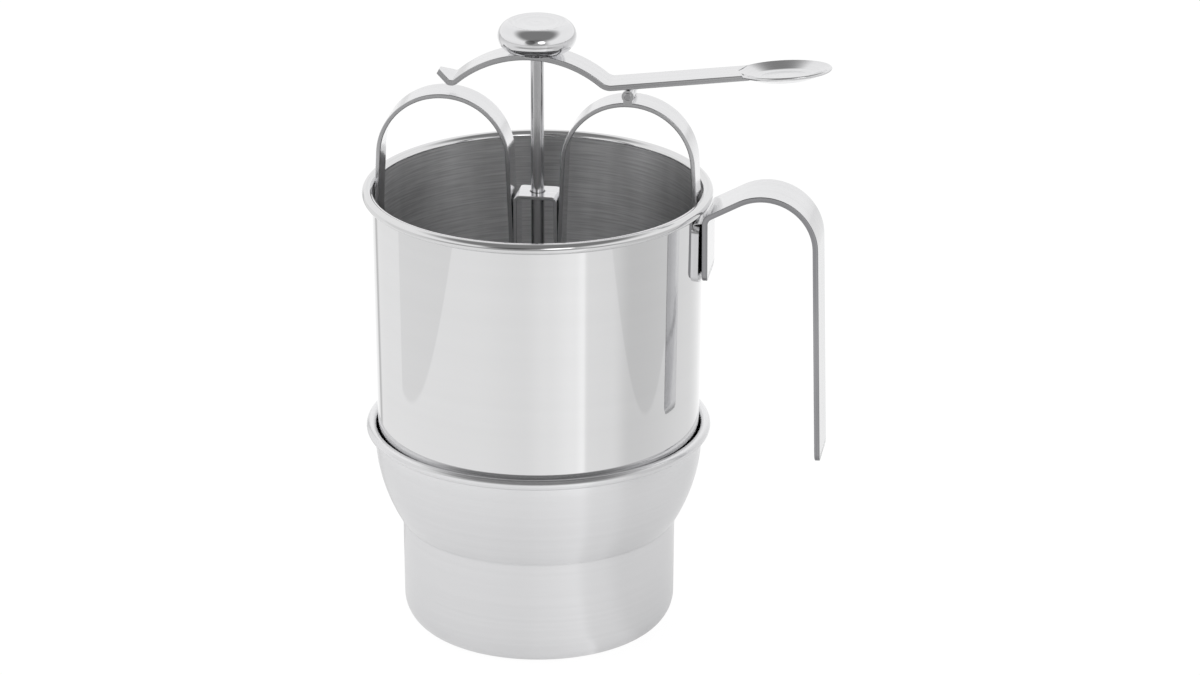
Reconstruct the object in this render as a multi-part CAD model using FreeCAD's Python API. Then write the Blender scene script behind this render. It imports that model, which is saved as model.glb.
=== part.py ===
import FreeCAD, Part
import math
import os

# Pancake batter dispenser: a stand cup, a polished vessel with a funnel bottom and a plug valve, and a
# thumb lever that lifts the valve by its knob. All lengths are millimetres and all angles are degrees.
# Origin: centre of the stand's foot, on the surface that it stands on. +Z is up, and +X points to the
# handle and the thumb rest.

# Stock
CUP_SHEET = 0.6
BOW_THICKNESS = 1.6
BRIDGE_THICKNESS = 1.3
LEVER_THICKNESS = 2.1
HANDLE_THICKNESS = 2.1
STRAP_WIDTH = 12.4
HANDLE_WIDTH = 20.0
STRAP_EDGE_ROUND = 0.3

# Stand cup
FOOT_RADIUS = 49.5
FOOT_CORNER_RADIUS = 11.0
FOOT_TAPER = 0.6
SHOULDER_RADIUS = 62.0
WAIST_BEND_RADIUS = 1.6
STAND_RIM_HEIGHT = 77.0
STAND_RIM_RUN = 2.5
STAND_CURL_RADIUS = 1.86
CURL_SWEEP = 295.0

# Vessel
VESSEL_RADIUS = 60.0
VESSEL_RIM_HEIGHT = 167.0
VESSEL_TAPER = 0.8
VESSEL_CURL_RADIUS = 2.05
VESSEL_CORNER_RADIUS = 8.0
SEAT_ANGLE = 6.0
SEAT_GAP = 0.3
FUNNEL_SLOPE = 35.0
FLANGE_LENGTH = 3.0
FUNNEL_RIM_SETBACK = 0.4

# Outlet and valve
SPOUT_BORE_RADIUS = 6.0
SPOUT_COLLAR_RADIUS = 9.0
SPOUT_COLLAR_LAND = 0.6
SPOUT_COLLAR_HEIGHT = 8.0
SPOUT_STAND_UP = 0.8
SPOUT_WALL = 1.4
SPOUT_LENGTH = 14.0
SPOUT_CHAMFER = 0.4
VALVE_GAP = 0.1
PLUG_NOSE_INSET = 0.8
PLUG_BAND = 2.0
PLUG_HUB_RADIUS = 5.0
PLUG_HUB_HEIGHT = 4.0
PLUG_TOP_RISE = 1.6
PLUG_ROUND = 0.6
ROD_DIAMETER = 4.8
ROD_STEP = 0.4
ROD_END_IN_PLUG = 5.0
ROD_END_IN_KNOB = 7.0
THREAD_GAP = 0.05
BORE_END_GAP = 0.4

# Bows
BOW_RISE = 37.0
BOW_CROWN_FLAT = 0.4
BOW_INNER_LEAN = 2.4
BOW_OUTER_LEAN = 2.6
BOW_INNER_KINK_DROP = 16.0
BOW_OUTER_KINK_DROP = 9.0
BOW_KINK_RADIUS = 14.0
BOW_INNER_FOOT = 20.0
BOW_OUTER_FOOT = 18.0
BOW_WALL_STANDOFF = 0.2

# Guide bridge between the bows
BRIDGE_DROP = 0.2
BRIDGE_HALF_SPAN = 8.05
BRIDGE_BEND_RADIUS = 1.6
BRIDGE_LEG_END_INSET = 2.0
ROD_GUIDE_GAP = 0.4

# Lever pivot
PIN_DIAMETER = 2.8
PIN_END_STANDOUT = 0.3
KNUCKLE_RADIUS = 2.2
KNUCKLE_FOOT_WIDTH = 3.2
KNUCKLE_SIDE_GAP = 0.15
LEVER_KNUCKLE_WIDTH = 4.8
LEVER_KNUCKLE_CLEARANCE = 0.25
BOW_KNUCKLE_CLEARANCE = 0.3
PIN_RUNNING_GAP = 0.06

# Lever
LEVER_SWING = 15.0
ARM_SLOPE = 7.3
ARM_LENGTH = 43.6
VALLEY_RADIUS = 5.0
HUMP_RADIUS = 41.0
HUMP_RISE = 16.4
HUMP_OFFSET = 1.6
TIP_BEND_RADIUS = 2.4
TIP_BEND_HEIGHT = 3.4
TIP_RISE = 28.0
TIP_LENGTH = 5.0
TIP_END_WIDTH = 3.4
SLOT_SIDE_GAP = 0.4
SLOT_END_GAP = 0.6

# Thumb rest
THUMB_LENGTH = 34.0
THUMB_WIDTH = 21.0
THUMB_DEPTH = 3.6
THUMB_FLOOR_RADIUS = 10.0
THUMB_BEND_RADIUS = 9.0
THUMB_SHEET = 1.2
THUMB_TILT = 5.0
THUMB_OVERLAP = 4.6
THUMB_RIM_ABOVE_ARM = 0.2
THUMB_EDGE_ROUND = 0.45

# Knob
KNOB_RADIUS = 14.2
KNOB_FOOT_RADIUS = 9.5
KNOB_FACE_RADIUS = 10.5
KNOB_HEIGHT = 10.6
KNOB_WAIST_HEIGHT = 5.2
KNOB_DISH = 0.4
KNOB_REST_GAP = 0.12

# Handle
HANDLE_PAD_SHEET = 1.5
HANDLE_PAD_WIDTH = 23.0
HANDLE_PAD_TOP_DROP = 6.6
HANDLE_PAD_HEIGHT = 22.0
HANDLE_PAD_CORNER = 3.0
HANDLE_PAD_FLAT = 0.25
HANDLE_TAB_LENGTH = 24.2
HANDLE_TAB_TOP_DROP = 4.4
HANDLE_BEND_RADIUS = 3.5
HANDLE_RISE = 28.0
HANDLE_REACH = 39.7
HANDLE_CROWN_RADIUS = 19.0
HANDLE_LEG_LEAN = 1.15
HANDLE_END_DROP = 96.0
HANDLE_CORNER_RADIUS = 3.0

Z_AXIS = FreeCAD.Vector(0, 0, 1)
ORIGIN = FreeCAD.Vector(0, 0, 0)
NO_LENGTH = 1e-6
MARGIN = 1.0


# Plane geometry on (across, up) pairs, headings in radians

def moved(point, heading, distance):
    """The point that lies a distance along a heading."""
    return (point[0] + distance * math.cos(heading), point[1] + distance * math.sin(heading))


def heading_of(start, end):
    """Direction from one point to another."""
    return math.atan2(end[1] - start[1], end[0] - start[0])


def turn_between(heading_in, heading_out):
    """Signed turn from one heading to another: left turns are positive and under half a circle."""
    return (heading_out - heading_in + math.pi) % (2 * math.pi) - math.pi


def crossing(point_a, heading_a, point_b, heading_b):
    """Where two lines meet, each given by a point and a heading."""
    across = point_b[0] - point_a[0]
    up = point_b[1] - point_a[1]
    run = (across * math.sin(heading_b) - up * math.cos(heading_b)) / math.sin(heading_b - heading_a)
    return moved(point_a, heading_a, run)


def at_reach(centre, reach, point, heading, way):
    """Where a line meets a circle: way +1 takes the far meeting point along the line, -1 the near one."""
    across = point[0] - centre[0]
    up = point[1] - centre[1]
    along = across * math.cos(heading) + up * math.sin(heading)
    aside = up * math.cos(heading) - across * math.sin(heading)
    return moved(point, heading, way * math.sqrt(reach ** 2 - aside ** 2) - along)


def straight(start, end):
    """A straight piece of a middle line."""
    return ("run", start, end)


def bend(centre, radius, begin, sweep):
    """A round piece of a middle line: begin is the angle of its first point seen from the centre."""
    return ("bend", centre, radius, begin, sweep)


def bent_line(corners, radii):
    """A middle line: straight runs between corners, joined by tangent bends of the given radii."""
    pieces = []
    start = corners[0]
    for before, corner, after, radius in zip(corners, corners[1:], corners[2:], radii):
        heading_in = heading_of(before, corner)
        heading_out = heading_of(corner, after)
        turn = turn_between(heading_in, heading_out)
        setback = radius * math.tan(abs(turn) / 2)
        bend_start = moved(corner, heading_in, -setback)
        side = math.copysign(math.pi / 2, turn)
        centre = moved(bend_start, heading_in + side, radius)
        pieces.append(straight(start, bend_start))
        pieces.append(bend(centre, radius, heading_in - side, turn))
        start = moved(corner, heading_out, setback)
    pieces.append(straight(start, corners[-1]))
    return pieces


def with_curl(pieces, radius):
    """The middle line with its last end rolled over to the right, into a bead."""
    _, start, end = pieces[-1]
    heading = heading_of(start, end)
    centre = moved(end, heading - math.pi / 2, radius)
    return pieces + [bend(centre, radius, heading + math.pi / 2, -math.radians(CURL_SWEEP))]


def beside(piece, offset):
    """First, middle and last point of the line beside a piece: a positive offset lies on its left."""
    if piece[0] == "run":
        _, start, end = piece
        side = heading_of(start, end) + math.pi / 2
        middle = ((start[0] + end[0]) / 2, (start[1] + end[1]) / 2)
        return [moved(point, side, offset) for point in (start, middle, end)]
    _, centre, radius, begin, sweep = piece
    reach = radius - math.copysign(offset, sweep) if offset > 0 else radius + math.copysign(-offset, sweep)
    return [moved(centre, begin + sweep * share, reach) for share in (0, 0.5, 1)]


def upright(point, across=0.0):
    """A pair as a point in the upright plane y = across."""
    return FreeCAD.Vector(point[0], across, point[1])


def edge_beside(piece, offset, across):
    """The edge that runs beside a piece of a middle line."""
    first, middle, last = (upright(point, across) for point in beside(piece, offset))
    if piece[0] == "run":
        return Part.LineSegment(first, last).toShape()
    return Part.Arc(first, middle, last).toShape()


def sheet_face(pieces, thickness, across=0.0):
    """Cross-section of a bent sheet about its middle line, in the plane y = across."""
    pieces = [piece for piece in pieces if piece[0] == "bend" or math.dist(*piece[1:]) > NO_LENGTH]
    half = thickness / 2
    edges = [edge_beside(piece, half, across) for piece in pieces]
    edges += [edge_beside(piece, -half, across) for piece in pieces]
    for piece, which in ((pieces[0], 0), (pieces[-1], 2)):
        ends = [upright(beside(piece, offset)[which], across) for offset in (half, -half)]
        edges.append(Part.LineSegment(*ends).toShape())
    return Part.Face(Part.Wire(Part.__sortEdges__(edges)))


def spun(face):
    """A face turned all the way round the vessel's axis."""
    return face.revolve(ORIGIN, Z_AXIS, 360)


def profile(points):
    """A closed straight-sided face through (across, up) pairs."""
    return Part.Face(Part.makePolygon([upright(point) for point in list(points) + [points[0]]]))


def disc(radius, low, high):
    """An upright cylinder on the vessel's axis."""
    return Part.makeCylinder(radius, high - low, FreeCAD.Vector(0, 0, low), Z_AXIS)


def strap(pieces, thickness, width):
    """A bent strap, centred on y = 0, before its edges are rounded."""
    return sheet_face(pieces, thickness, -width / 2).extrude(FreeCAD.Vector(0, width, 0))


def side_edges(solid, width):
    """The edges that lie in a strap's two side planes."""
    found = []
    for edge in solid.Edges:
        box = edge.BoundBox
        if box.YLength < NO_LENGTH and abs(abs(box.YMin) - width / 2) < NO_LENGTH:
            found.append(edge)
    return found


def rounded(solid, edges, radius):
    """A solid with the given edges rounded."""
    return solid.makeFillet(radius, edges)


def across_bar(radius, centre, low, high):
    """A round bar along Y, from y = low to y = high."""
    start = FreeCAD.Vector(centre[0], low, centre[1])
    return Part.makeCylinder(radius, high - low, start, FreeCAD.Vector(0, 1, 0))


def at_side(solid, side):
    """The solid itself for side +1, and its mirror image about the YZ plane for side -1."""
    return solid if side > 0 else solid.mirror(ORIGIN, FreeCAD.Vector(1, 0, 0))


# Places that several pieces share

VESSEL_TILT = math.radians(VESSEL_TAPER)
UP = math.pi / 2
SLOPE = math.radians(FUNNEL_SLOPE)


def wall_radius(height):
    """Radius of the middle of the vessel's wall at a height."""
    return VESSEL_RADIUS - CUP_SHEET / 2 - (VESSEL_RIM_HEIGHT - height) * math.tan(VESSEL_TILT)


WALL_HEADING = UP - VESSEL_TILT
SEAT = math.radians(SEAT_ANGLE)
SEAT_REACH = SHOULDER_RADIUS - CUP_SHEET - VESSEL_CORNER_RADIUS - SEAT_GAP
SHOULDER_CENTRE_HEIGHT = STAND_RIM_HEIGHT - STAND_RIM_RUN
CORNER_CENTRE_HEIGHT = SHOULDER_CENTRE_HEIGHT - SEAT_REACH * math.sin(SEAT)
CORNER_CENTRE_RADIUS = wall_radius(CORNER_CENTRE_HEIGHT) + CUP_SHEET / 2 - VESSEL_CORNER_RADIUS
SHOULDER_CENTRE_RADIUS = CORNER_CENTRE_RADIUS - SEAT_REACH * math.cos(SEAT)

CORNER_MIDDLE_RADIUS = VESSEL_CORNER_RADIUS - CUP_SHEET / 2
CORNER_SETBACK = CORNER_MIDDLE_RADIUS * math.tan((WALL_HEADING - SLOPE) / 2)
CORNER_HEIGHT = CORNER_CENTRE_HEIGHT - CORNER_SETBACK * math.cos(VESSEL_TILT)
CORNER = (wall_radius(CORNER_HEIGHT), CORNER_HEIGHT)

COLLAR_MEETS_FUNNEL = (
    CORNER[1]
    - (CORNER[0] - SPOUT_COLLAR_RADIUS) * math.tan(SLOPE)
    + 1.5 * CUP_SHEET / math.cos(SLOPE)
)
SPOUT_TOP = COLLAR_MEETS_FUNNEL + SPOUT_STAND_UP
SEAT_TOP_RADIUS = SPOUT_COLLAR_RADIUS - SPOUT_COLLAR_LAND

BRIDGE_TOP = VESSEL_RIM_HEIGHT - BRIDGE_DROP
BOW_TOP = VESSEL_RIM_HEIGHT + BOW_RISE
HUMP_TOP = BOW_TOP + HUMP_RISE
BOW_INNER_KINK_HEIGHT = VESSEL_RIM_HEIGHT - BOW_INNER_KINK_DROP
BOW_INNER_X = BRIDGE_HALF_SPAN + BOW_THICKNESS / 2
BOW_CROWN_LINE = BOW_TOP - BOW_THICKNESS / 2
BOW_OUTER_KINK_HEIGHT = VESSEL_RIM_HEIGHT - BOW_OUTER_KINK_DROP
BOW_INNER_HEADING = UP - math.radians(BOW_INNER_LEAN)
BOW_OUTER_HEADING = -UP + math.radians(BOW_OUTER_LEAN)


def bow_line():
    """Middle line of the right-hand bow, from its foot on the bridge to its foot on the wall."""
    inset = CUP_SHEET / 2 + BOW_WALL_STANDOFF + BOW_THICKNESS / 2
    inner_kink = (BOW_INNER_X, BOW_INNER_KINK_HEIGHT)
    outer_kink = (wall_radius(BOW_OUTER_KINK_HEIGHT) - inset, BOW_OUTER_KINK_HEIGHT)
    inner_top = crossing(inner_kink, BOW_INNER_HEADING, (0, BOW_CROWN_LINE), 0)
    outer_top = crossing(outer_kink, BOW_OUTER_HEADING, (0, BOW_CROWN_LINE), 0)
    turns = math.tan(BOW_INNER_HEADING / 2) + math.tan(-BOW_OUTER_HEADING / 2)
    crown_radius = (outer_top[0] - inner_top[0] - BOW_CROWN_FLAT) / turns
    corners = [
        (BOW_INNER_X, BOW_INNER_KINK_HEIGHT - BOW_INNER_FOOT),
        inner_kink,
        inner_top,
        outer_top,
        outer_kink,
        moved(outer_kink, WALL_HEADING + math.pi, BOW_OUTER_FOOT),
    ]
    line = bent_line(corners, [BOW_KINK_RADIUS, crown_radius, crown_radius, BOW_KINK_RADIUS])
    return line, inner_top[0] + crown_radius * math.tan(BOW_INNER_HEADING / 2) + BOW_CROWN_FLAT / 2


BOW_LINE, BOW_CROWN_X = bow_line()

PIVOT = (BOW_CROWN_X, BOW_TOP + LEVER_KNUCKLE_CLEARANCE + KNUCKLE_RADIUS)
ARM_HEADING = math.radians(ARM_SLOPE)
ARM_OFFSET = KNUCKLE_RADIUS + BOW_KNUCKLE_CLEARANCE + LEVER_THICKNESS / 2
ARM_OVER_PIVOT = moved(PIVOT, ARM_HEADING + UP, ARM_OFFSET)
ARM_END = moved(ARM_OVER_PIVOT, ARM_HEADING, ARM_LENGTH)

HUMP_CENTRE = (-HUMP_OFFSET, HUMP_TOP - LEVER_THICKNESS / 2 - HUMP_RADIUS)
KNOB_BOTTOM = HUMP_TOP + KNOB_REST_GAP
ROD_RADIUS = ROD_DIAMETER / 2
ROD_END_RADIUS = ROD_RADIUS - ROD_STEP


def turned_in_lever(point, swing):
    """Where a fixed point lies on the lever after it has swung, the thumb rest going down."""
    across = point[0] - PIVOT[0]
    up = point[1] - PIVOT[1]
    cos = math.cos(swing)
    sin = math.sin(swing)
    return (PIVOT[0] + across * cos - up * sin, PIVOT[1] + across * sin + up * cos)


# Stand

def make_stand_cup():
    """Floor, foot wall, rounded shoulder and rolled rim, all spun from one sheet."""
    half = CUP_SHEET / 2
    middle_radius = SHOULDER_RADIUS - half
    centre = (SHOULDER_CENTRE_RADIUS, SHOULDER_CENTRE_HEIGHT)
    foot_heading = UP - math.radians(FOOT_TAPER)
    floor_corner = (FOOT_RADIUS - half, half)
    beside_foot = moved(floor_corner, foot_heading - UP, WAIST_BEND_RADIUS)
    waist = at_reach(centre, middle_radius + WAIST_BEND_RADIUS, beside_foot, foot_heading, -1)
    waist_foot = moved(waist, foot_heading + UP, WAIST_BEND_RADIUS)
    dip = heading_of(centre, waist)
    mouth = moved(centre, 0, middle_radius)
    line = bent_line([(0, half), floor_corner, waist_foot], [FOOT_CORNER_RADIUS - half])
    line += [
        bend(waist, WAIST_BEND_RADIUS, foot_heading + UP, turn_between(foot_heading + UP, dip + math.pi)),
        bend(centre, middle_radius, dip, -dip),
        straight(mouth, (mouth[0], STAND_RIM_HEIGHT)),
    ]
    return spun(sheet_face(with_curl(line, STAND_CURL_RADIUS - half), CUP_SHEET))


# Vessel

def make_vessel_shell():
    """Turned-in flange, corner, tapered wall and rolled rim, from one sheet."""
    flange_end = moved(CORNER, SLOPE + math.pi, CORNER_SETBACK + FLANGE_LENGTH)
    rim = (wall_radius(VESSEL_RIM_HEIGHT), VESSEL_RIM_HEIGHT)
    line = bent_line([flange_end, CORNER, rim], [CORNER_MIDDLE_RADIUS])
    return spun(sheet_face(with_curl(line, VESSEL_CURL_RADIUS - CUP_SHEET / 2), CUP_SHEET))


def make_vessel_cone():
    """The funnel bottom, lapped onto the shell's flange and closed by the outlet's collar."""
    outer_end = moved(CORNER, SLOPE + math.pi, CORNER_SETBACK + FUNNEL_RIM_SETBACK)
    outer_end = moved(outer_end, SLOPE + UP, CUP_SHEET)
    inner_end = moved(outer_end, SLOPE + math.pi, (outer_end[0] - SPOUT_BORE_RADIUS) / math.cos(SLOPE))
    sheet = spun(sheet_face([straight(inner_end, outer_end)], CUP_SHEET))
    return sheet.cut(disc(SPOUT_COLLAR_RADIUS, 0, VESSEL_RIM_HEIGHT))


def make_outlet_spout():
    """Turned outlet: a collar with a seat at 45 degrees, and a thinner nozzle below it."""
    nozzle = SPOUT_BORE_RADIUS + SPOUT_WALL
    bottom = SPOUT_TOP - SPOUT_LENGTH
    step = SPOUT_TOP - SPOUT_COLLAR_HEIGHT
    seat_depth = SEAT_TOP_RADIUS - SPOUT_BORE_RADIUS
    section = profile([
        (SEAT_TOP_RADIUS, SPOUT_TOP),
        (SPOUT_COLLAR_RADIUS, SPOUT_TOP),
        (SPOUT_COLLAR_RADIUS, step + SPOUT_CHAMFER),
        (SPOUT_COLLAR_RADIUS - SPOUT_CHAMFER, step),
        (nozzle, step),
        (nozzle, bottom + SPOUT_CHAMFER),
        (nozzle - SPOUT_CHAMFER, bottom),
        (SPOUT_BORE_RADIUS, bottom),
        (SPOUT_BORE_RADIUS, SPOUT_TOP - seat_depth),
    ])
    return spun(section)


# Valve

def make_valve_plug():
    """Turned plug: its cone seats in the outlet, and its hub holds the rod."""
    cone_lift = VALVE_GAP * math.sqrt(2)
    nose = SPOUT_BORE_RADIUS - PLUG_NOSE_INSET
    band_start = SPOUT_TOP + SPOUT_COLLAR_RADIUS - SEAT_TOP_RADIUS + cone_lift
    band_end = band_start + PLUG_BAND
    hub_start = band_end + PLUG_TOP_RISE
    hub_end = hub_start + PLUG_HUB_HEIGHT
    section = profile([
        (0, SPOUT_TOP - (SEAT_TOP_RADIUS - nose) + cone_lift),
        (nose, SPOUT_TOP - (SEAT_TOP_RADIUS - nose) + cone_lift),
        (SPOUT_COLLAR_RADIUS, band_start),
        (SPOUT_COLLAR_RADIUS, band_end),
        (PLUG_HUB_RADIUS, hub_start),
        (PLUG_HUB_RADIUS, hub_end),
        (0, hub_end),
    ])
    body = spun(section)
    rims = [edge for edge in body.Edges if abs(edge.BoundBox.ZMin - band_end) < NO_LENGTH]
    rims += [edge for edge in body.Edges if abs(edge.BoundBox.ZMin - hub_end) < NO_LENGTH]
    rims = [edge for edge in rims if edge.BoundBox.ZLength < NO_LENGTH]
    body = rounded(body, rims, PLUG_ROUND)
    return body.cut(disc(ROD_END_RADIUS, hub_end - ROD_END_IN_PLUG, hub_end + MARGIN)), hub_end


def make_valve_rod(plug_top):
    """The rod, with a thinner end in the plug and a thinner end in the knob."""
    rod = disc(ROD_RADIUS, plug_top, KNOB_BOTTOM - KNOB_REST_GAP)
    lower = disc(ROD_END_RADIUS, plug_top - ROD_END_IN_PLUG, plug_top)
    upper = disc(ROD_END_RADIUS, KNOB_BOTTOM - KNOB_REST_GAP, KNOB_BOTTOM + ROD_END_IN_KNOB)
    return rod.fuse([lower, upper]).removeSplitter()


def bulge(widest, end):
    """An arc that leaves its widest point upright and ends at another point nearer to the axis."""
    across = widest[0] - end[0]
    up = end[1] - widest[1]
    radius = (across ** 2 + up ** 2) / (2 * across)
    centre = (widest[0] - radius, widest[1])
    middle = moved(centre, heading_of(centre, end) / 2, radius)
    return Part.Arc(upright(widest), upright(middle), upright(end)).toShape()


def make_knob():
    """Bun-shaped knob with a slightly dished face, bored from below for the rod's end."""
    foot = (KNOB_FOOT_RADIUS, KNOB_BOTTOM)
    widest = (KNOB_RADIUS, KNOB_BOTTOM + KNOB_WAIST_HEIGHT)
    face_edge = (KNOB_FACE_RADIUS, KNOB_BOTTOM + KNOB_HEIGHT)
    face_middle = (0, face_edge[1] - KNOB_DISH)
    dish_radius = (KNOB_FACE_RADIUS ** 2 + KNOB_DISH ** 2) / (2 * KNOB_DISH)
    dish_centre = (0, face_middle[1] + dish_radius)
    between = moved(dish_centre, (heading_of(dish_centre, face_edge) - UP) / 2, dish_radius)
    edges = [
        Part.LineSegment(upright((0, KNOB_BOTTOM)), upright(foot)).toShape(),
        bulge(widest, foot),
        bulge(widest, face_edge),
        Part.Arc(upright(face_edge), upright(between), upright(face_middle)).toShape(),
        Part.LineSegment(upright(face_middle), upright((0, KNOB_BOTTOM))).toShape(),
    ]
    body = spun(Part.Face(Part.Wire(Part.__sortEdges__(edges))))
    bore_top = KNOB_BOTTOM + ROD_END_IN_KNOB + BORE_END_GAP
    return body.cut(disc(ROD_END_RADIUS + THREAD_GAP, KNOB_BOTTOM - MARGIN, bore_top))


# Frame in the vessel's mouth

def make_bow(side, shell):
    """One arched strap: its inner foot lies on the bridge's leg, and its outer foot on the wall."""
    body = strap(BOW_LINE, BOW_THICKNESS, STRAP_WIDTH)
    body = rounded(body, side_edges(body, STRAP_WIDTH), STRAP_EDGE_ROUND)
    return at_side(body, side).cut(shell)


def make_guide_bridge():
    """Inverted U between the bows' inner feet, with a hole that guides the rod."""
    half_line = BRIDGE_HALF_SPAN - BRIDGE_THICKNESS / 2
    top_line = BRIDGE_TOP - BRIDGE_THICKNESS / 2
    foot = BOW_INNER_KINK_HEIGHT - BOW_INNER_FOOT + BRIDGE_LEG_END_INSET
    corners = [(-half_line, foot), (-half_line, top_line), (half_line, top_line), (half_line, foot)]
    body = strap(bent_line(corners, [BRIDGE_BEND_RADIUS] * 2), BRIDGE_THICKNESS, STRAP_WIDTH)
    body = rounded(body, side_edges(body, STRAP_WIDTH), STRAP_EDGE_ROUND)
    return body.cut(disc(ROD_RADIUS + ROD_GUIDE_GAP, foot, BRIDGE_TOP + MARGIN))


def make_bow_knuckles(bow):
    """Two knuckles welded to the right-hand bow's crown, one on each side of the lever's."""
    inner = LEVER_KNUCKLE_WIDTH / 2 + KNUCKLE_SIDE_GAP
    outer = STRAP_WIDTH / 2
    half = KNUCKLE_FOOT_WIDTH / 2
    knuckles = []
    for low, high in ((-outer, -inner), (inner, outer)):
        ring = across_bar(KNUCKLE_RADIUS, PIVOT, low, high)
        corner = FreeCAD.Vector(PIVOT[0] - half, low, BOW_CROWN_LINE)
        foot = Part.makeBox(2 * half, high - low, PIVOT[1] - BOW_CROWN_LINE, corner)
        knuckle = ring.fuse(foot).removeSplitter().cut(bow)
        knuckles.append(knuckle.cut(across_bar(PIN_DIAMETER / 2, PIVOT, low - MARGIN, high + MARGIN)))
    return Part.makeCompound(knuckles)


def make_pivot_pin():
    """The pin, held by the bow's knuckles and standing out a little at both ends."""
    reach = STRAP_WIDTH / 2 + PIN_END_STANDOUT
    pin = across_bar(PIN_DIAMETER / 2, PIVOT, -reach, reach)
    ends = [edge for edge in pin.Edges if edge.BoundBox.YLength < NO_LENGTH]
    return rounded(pin, ends, PIN_END_STANDOUT)


# Lever

def lever_line():
    """Middle line of the lever from its turned-up tip over the hump to the end of its arm."""
    above_arm = moved(ARM_OVER_PIVOT, ARM_HEADING + UP, VALLEY_RADIUS)
    valley = at_reach(HUMP_CENTRE, HUMP_RADIUS + VALLEY_RADIUS, above_arm, ARM_HEADING, 1)
    tip_heading = -math.radians(TIP_RISE)
    tip_low = BOW_TOP + TIP_BEND_HEIGHT + LEVER_THICKNESS / 2 + TIP_BEND_RADIUS
    tip_centre = at_reach(HUMP_CENTRE, HUMP_RADIUS + TIP_BEND_RADIUS, (0, tip_low), 0, -1)
    hump_begin = heading_of(HUMP_CENTRE, tip_centre)
    hump_end = heading_of(HUMP_CENTRE, valley)
    tip_foot = moved(tip_centre, tip_heading - UP, TIP_BEND_RADIUS)
    tip_end = moved(tip_foot, tip_heading + math.pi, TIP_LENGTH)
    tip_sweep = turn_between(tip_heading - UP, hump_begin + math.pi)
    valley_begin = hump_end + math.pi
    valley_sweep = turn_between(valley_begin, ARM_HEADING - UP)
    arm_start = moved(valley, ARM_HEADING - UP, VALLEY_RADIUS)
    return [
        straight(tip_end, tip_foot),
        bend(tip_centre, TIP_BEND_RADIUS, tip_heading - UP, tip_sweep),
        bend(HUMP_CENTRE, HUMP_RADIUS, hump_begin, hump_end - hump_begin),
        bend(valley, VALLEY_RADIUS, valley_begin, valley_sweep),
        straight(arm_start, ARM_END),
    ], tip_end, tip_foot


def make_slot():
    """The rod's slot: long enough for the rod at every angle of the lever's swing."""
    swing = math.radians(LEVER_SWING)
    level = HUMP_TOP - LEVER_THICKNESS / 2
    low = turned_in_lever((0, PIVOT[1]), swing)
    high = turned_in_lever((0, HUMP_TOP + KNOB_HEIGHT), swing)
    far = low[0] + (high[0] - low[0]) * (level - low[1]) / (high[1] - low[1])
    half = ROD_RADIUS + SLOT_SIDE_GAP
    lean = ROD_RADIUS / math.cos(swing) + LEVER_THICKNESS / 2 * math.tan(swing) + SLOT_END_GAP - half
    start = far - lean
    end = ROD_RADIUS + SLOT_END_GAP - half
    base = level - KNOB_HEIGHT
    height = 2 * KNOB_HEIGHT
    ends = [
        Part.makeCylinder(half, height, FreeCAD.Vector(across, 0, base), Z_AXIS) for across in (start, end)
    ]
    middle = Part.makeBox(end - start, 2 * half, height, FreeCAD.Vector(start, -half, base))
    return middle.fuse(ends)


def thumb_bowl():
    """Middle line of the thumb rest's bowl, from its lowest point to its rim, before it is made oval."""
    floor = THUMB_SHEET / 2 - THUMB_DEPTH
    knee = (THUMB_FLOOR_RADIUS, floor)
    slant = heading_of(knee, (THUMB_LENGTH / 2, -THUMB_SHEET / 2))
    rim = (THUMB_LENGTH / 2 - THUMB_SHEET / 2 * math.sin(slant), -THUMB_SHEET / 2 * math.cos(slant))
    return bent_line([(0, floor), knee, rim], [THUMB_BEND_RADIUS])


def make_thumb_rest():
    """Oval pressed bowl on the end of the lever's arm."""
    bowl = spun(sheet_face(thumb_bowl(), THUMB_SHEET))
    rims = [edge for edge in bowl.Edges if edge.BoundBox.ZMin > -THUMB_SHEET - NO_LENGTH]
    squeeze = FreeCAD.Matrix()
    squeeze.A22 = THUMB_WIDTH / THUMB_LENGTH
    return placed_thumb(rounded(bowl, rims, THUMB_EDGE_ROUND).transformGeometry(squeeze))


def arm_top_at(across):
    """Height of the arm's top face."""
    start = moved(ARM_OVER_PIVOT, ARM_HEADING + UP, LEVER_THICKNESS / 2)
    return start[1] + (across - start[0]) * math.tan(ARM_HEADING)


def placed_thumb(shape):
    """The thumb rest's shape moved to its place at the end of the arm."""
    tilt = math.radians(THUMB_TILT)
    near_rim = ARM_END[0] - THUMB_OVERLAP
    centre = moved((near_rim, arm_top_at(near_rim) + THUMB_RIM_ABOVE_ARM), tilt, THUMB_LENGTH / 2)
    shape.rotate(ORIGIN, FreeCAD.Vector(0, 1, 0), -THUMB_TILT)
    shape.translate(upright(centre))
    return shape


def make_lever_strap(thumb):
    """The lever's strap: narrowed at its tip, slotted for the rod and fitted under the thumb rest."""
    line, tip_end, tip_foot = lever_line()
    body = strap(line, LEVER_THICKNESS, STRAP_WIDTH)
    body = rounded(body, side_edges(body, STRAP_WIDTH), STRAP_EDGE_ROUND)
    for side in (-1, 1):
        points = [
            FreeCAD.Vector(tip_foot[0], side * STRAP_WIDTH / 2, 0),
            FreeCAD.Vector(tip_end[0], side * TIP_END_WIDTH / 2, 0),
            FreeCAD.Vector(tip_end[0] - STRAP_WIDTH, side * TIP_END_WIDTH / 2, 0),
            FreeCAD.Vector(tip_end[0] - STRAP_WIDTH, side * STRAP_WIDTH, 0),
            FreeCAD.Vector(tip_foot[0], side * STRAP_WIDTH, 0),
        ]
        wedge = Part.Face(Part.makePolygon(points + [points[0]]))
        body = body.cut(wedge.extrude(FreeCAD.Vector(0, 0, HUMP_TOP + KNOB_HEIGHT)))
    return body.cut(make_slot()).cut(thumb)


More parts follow.
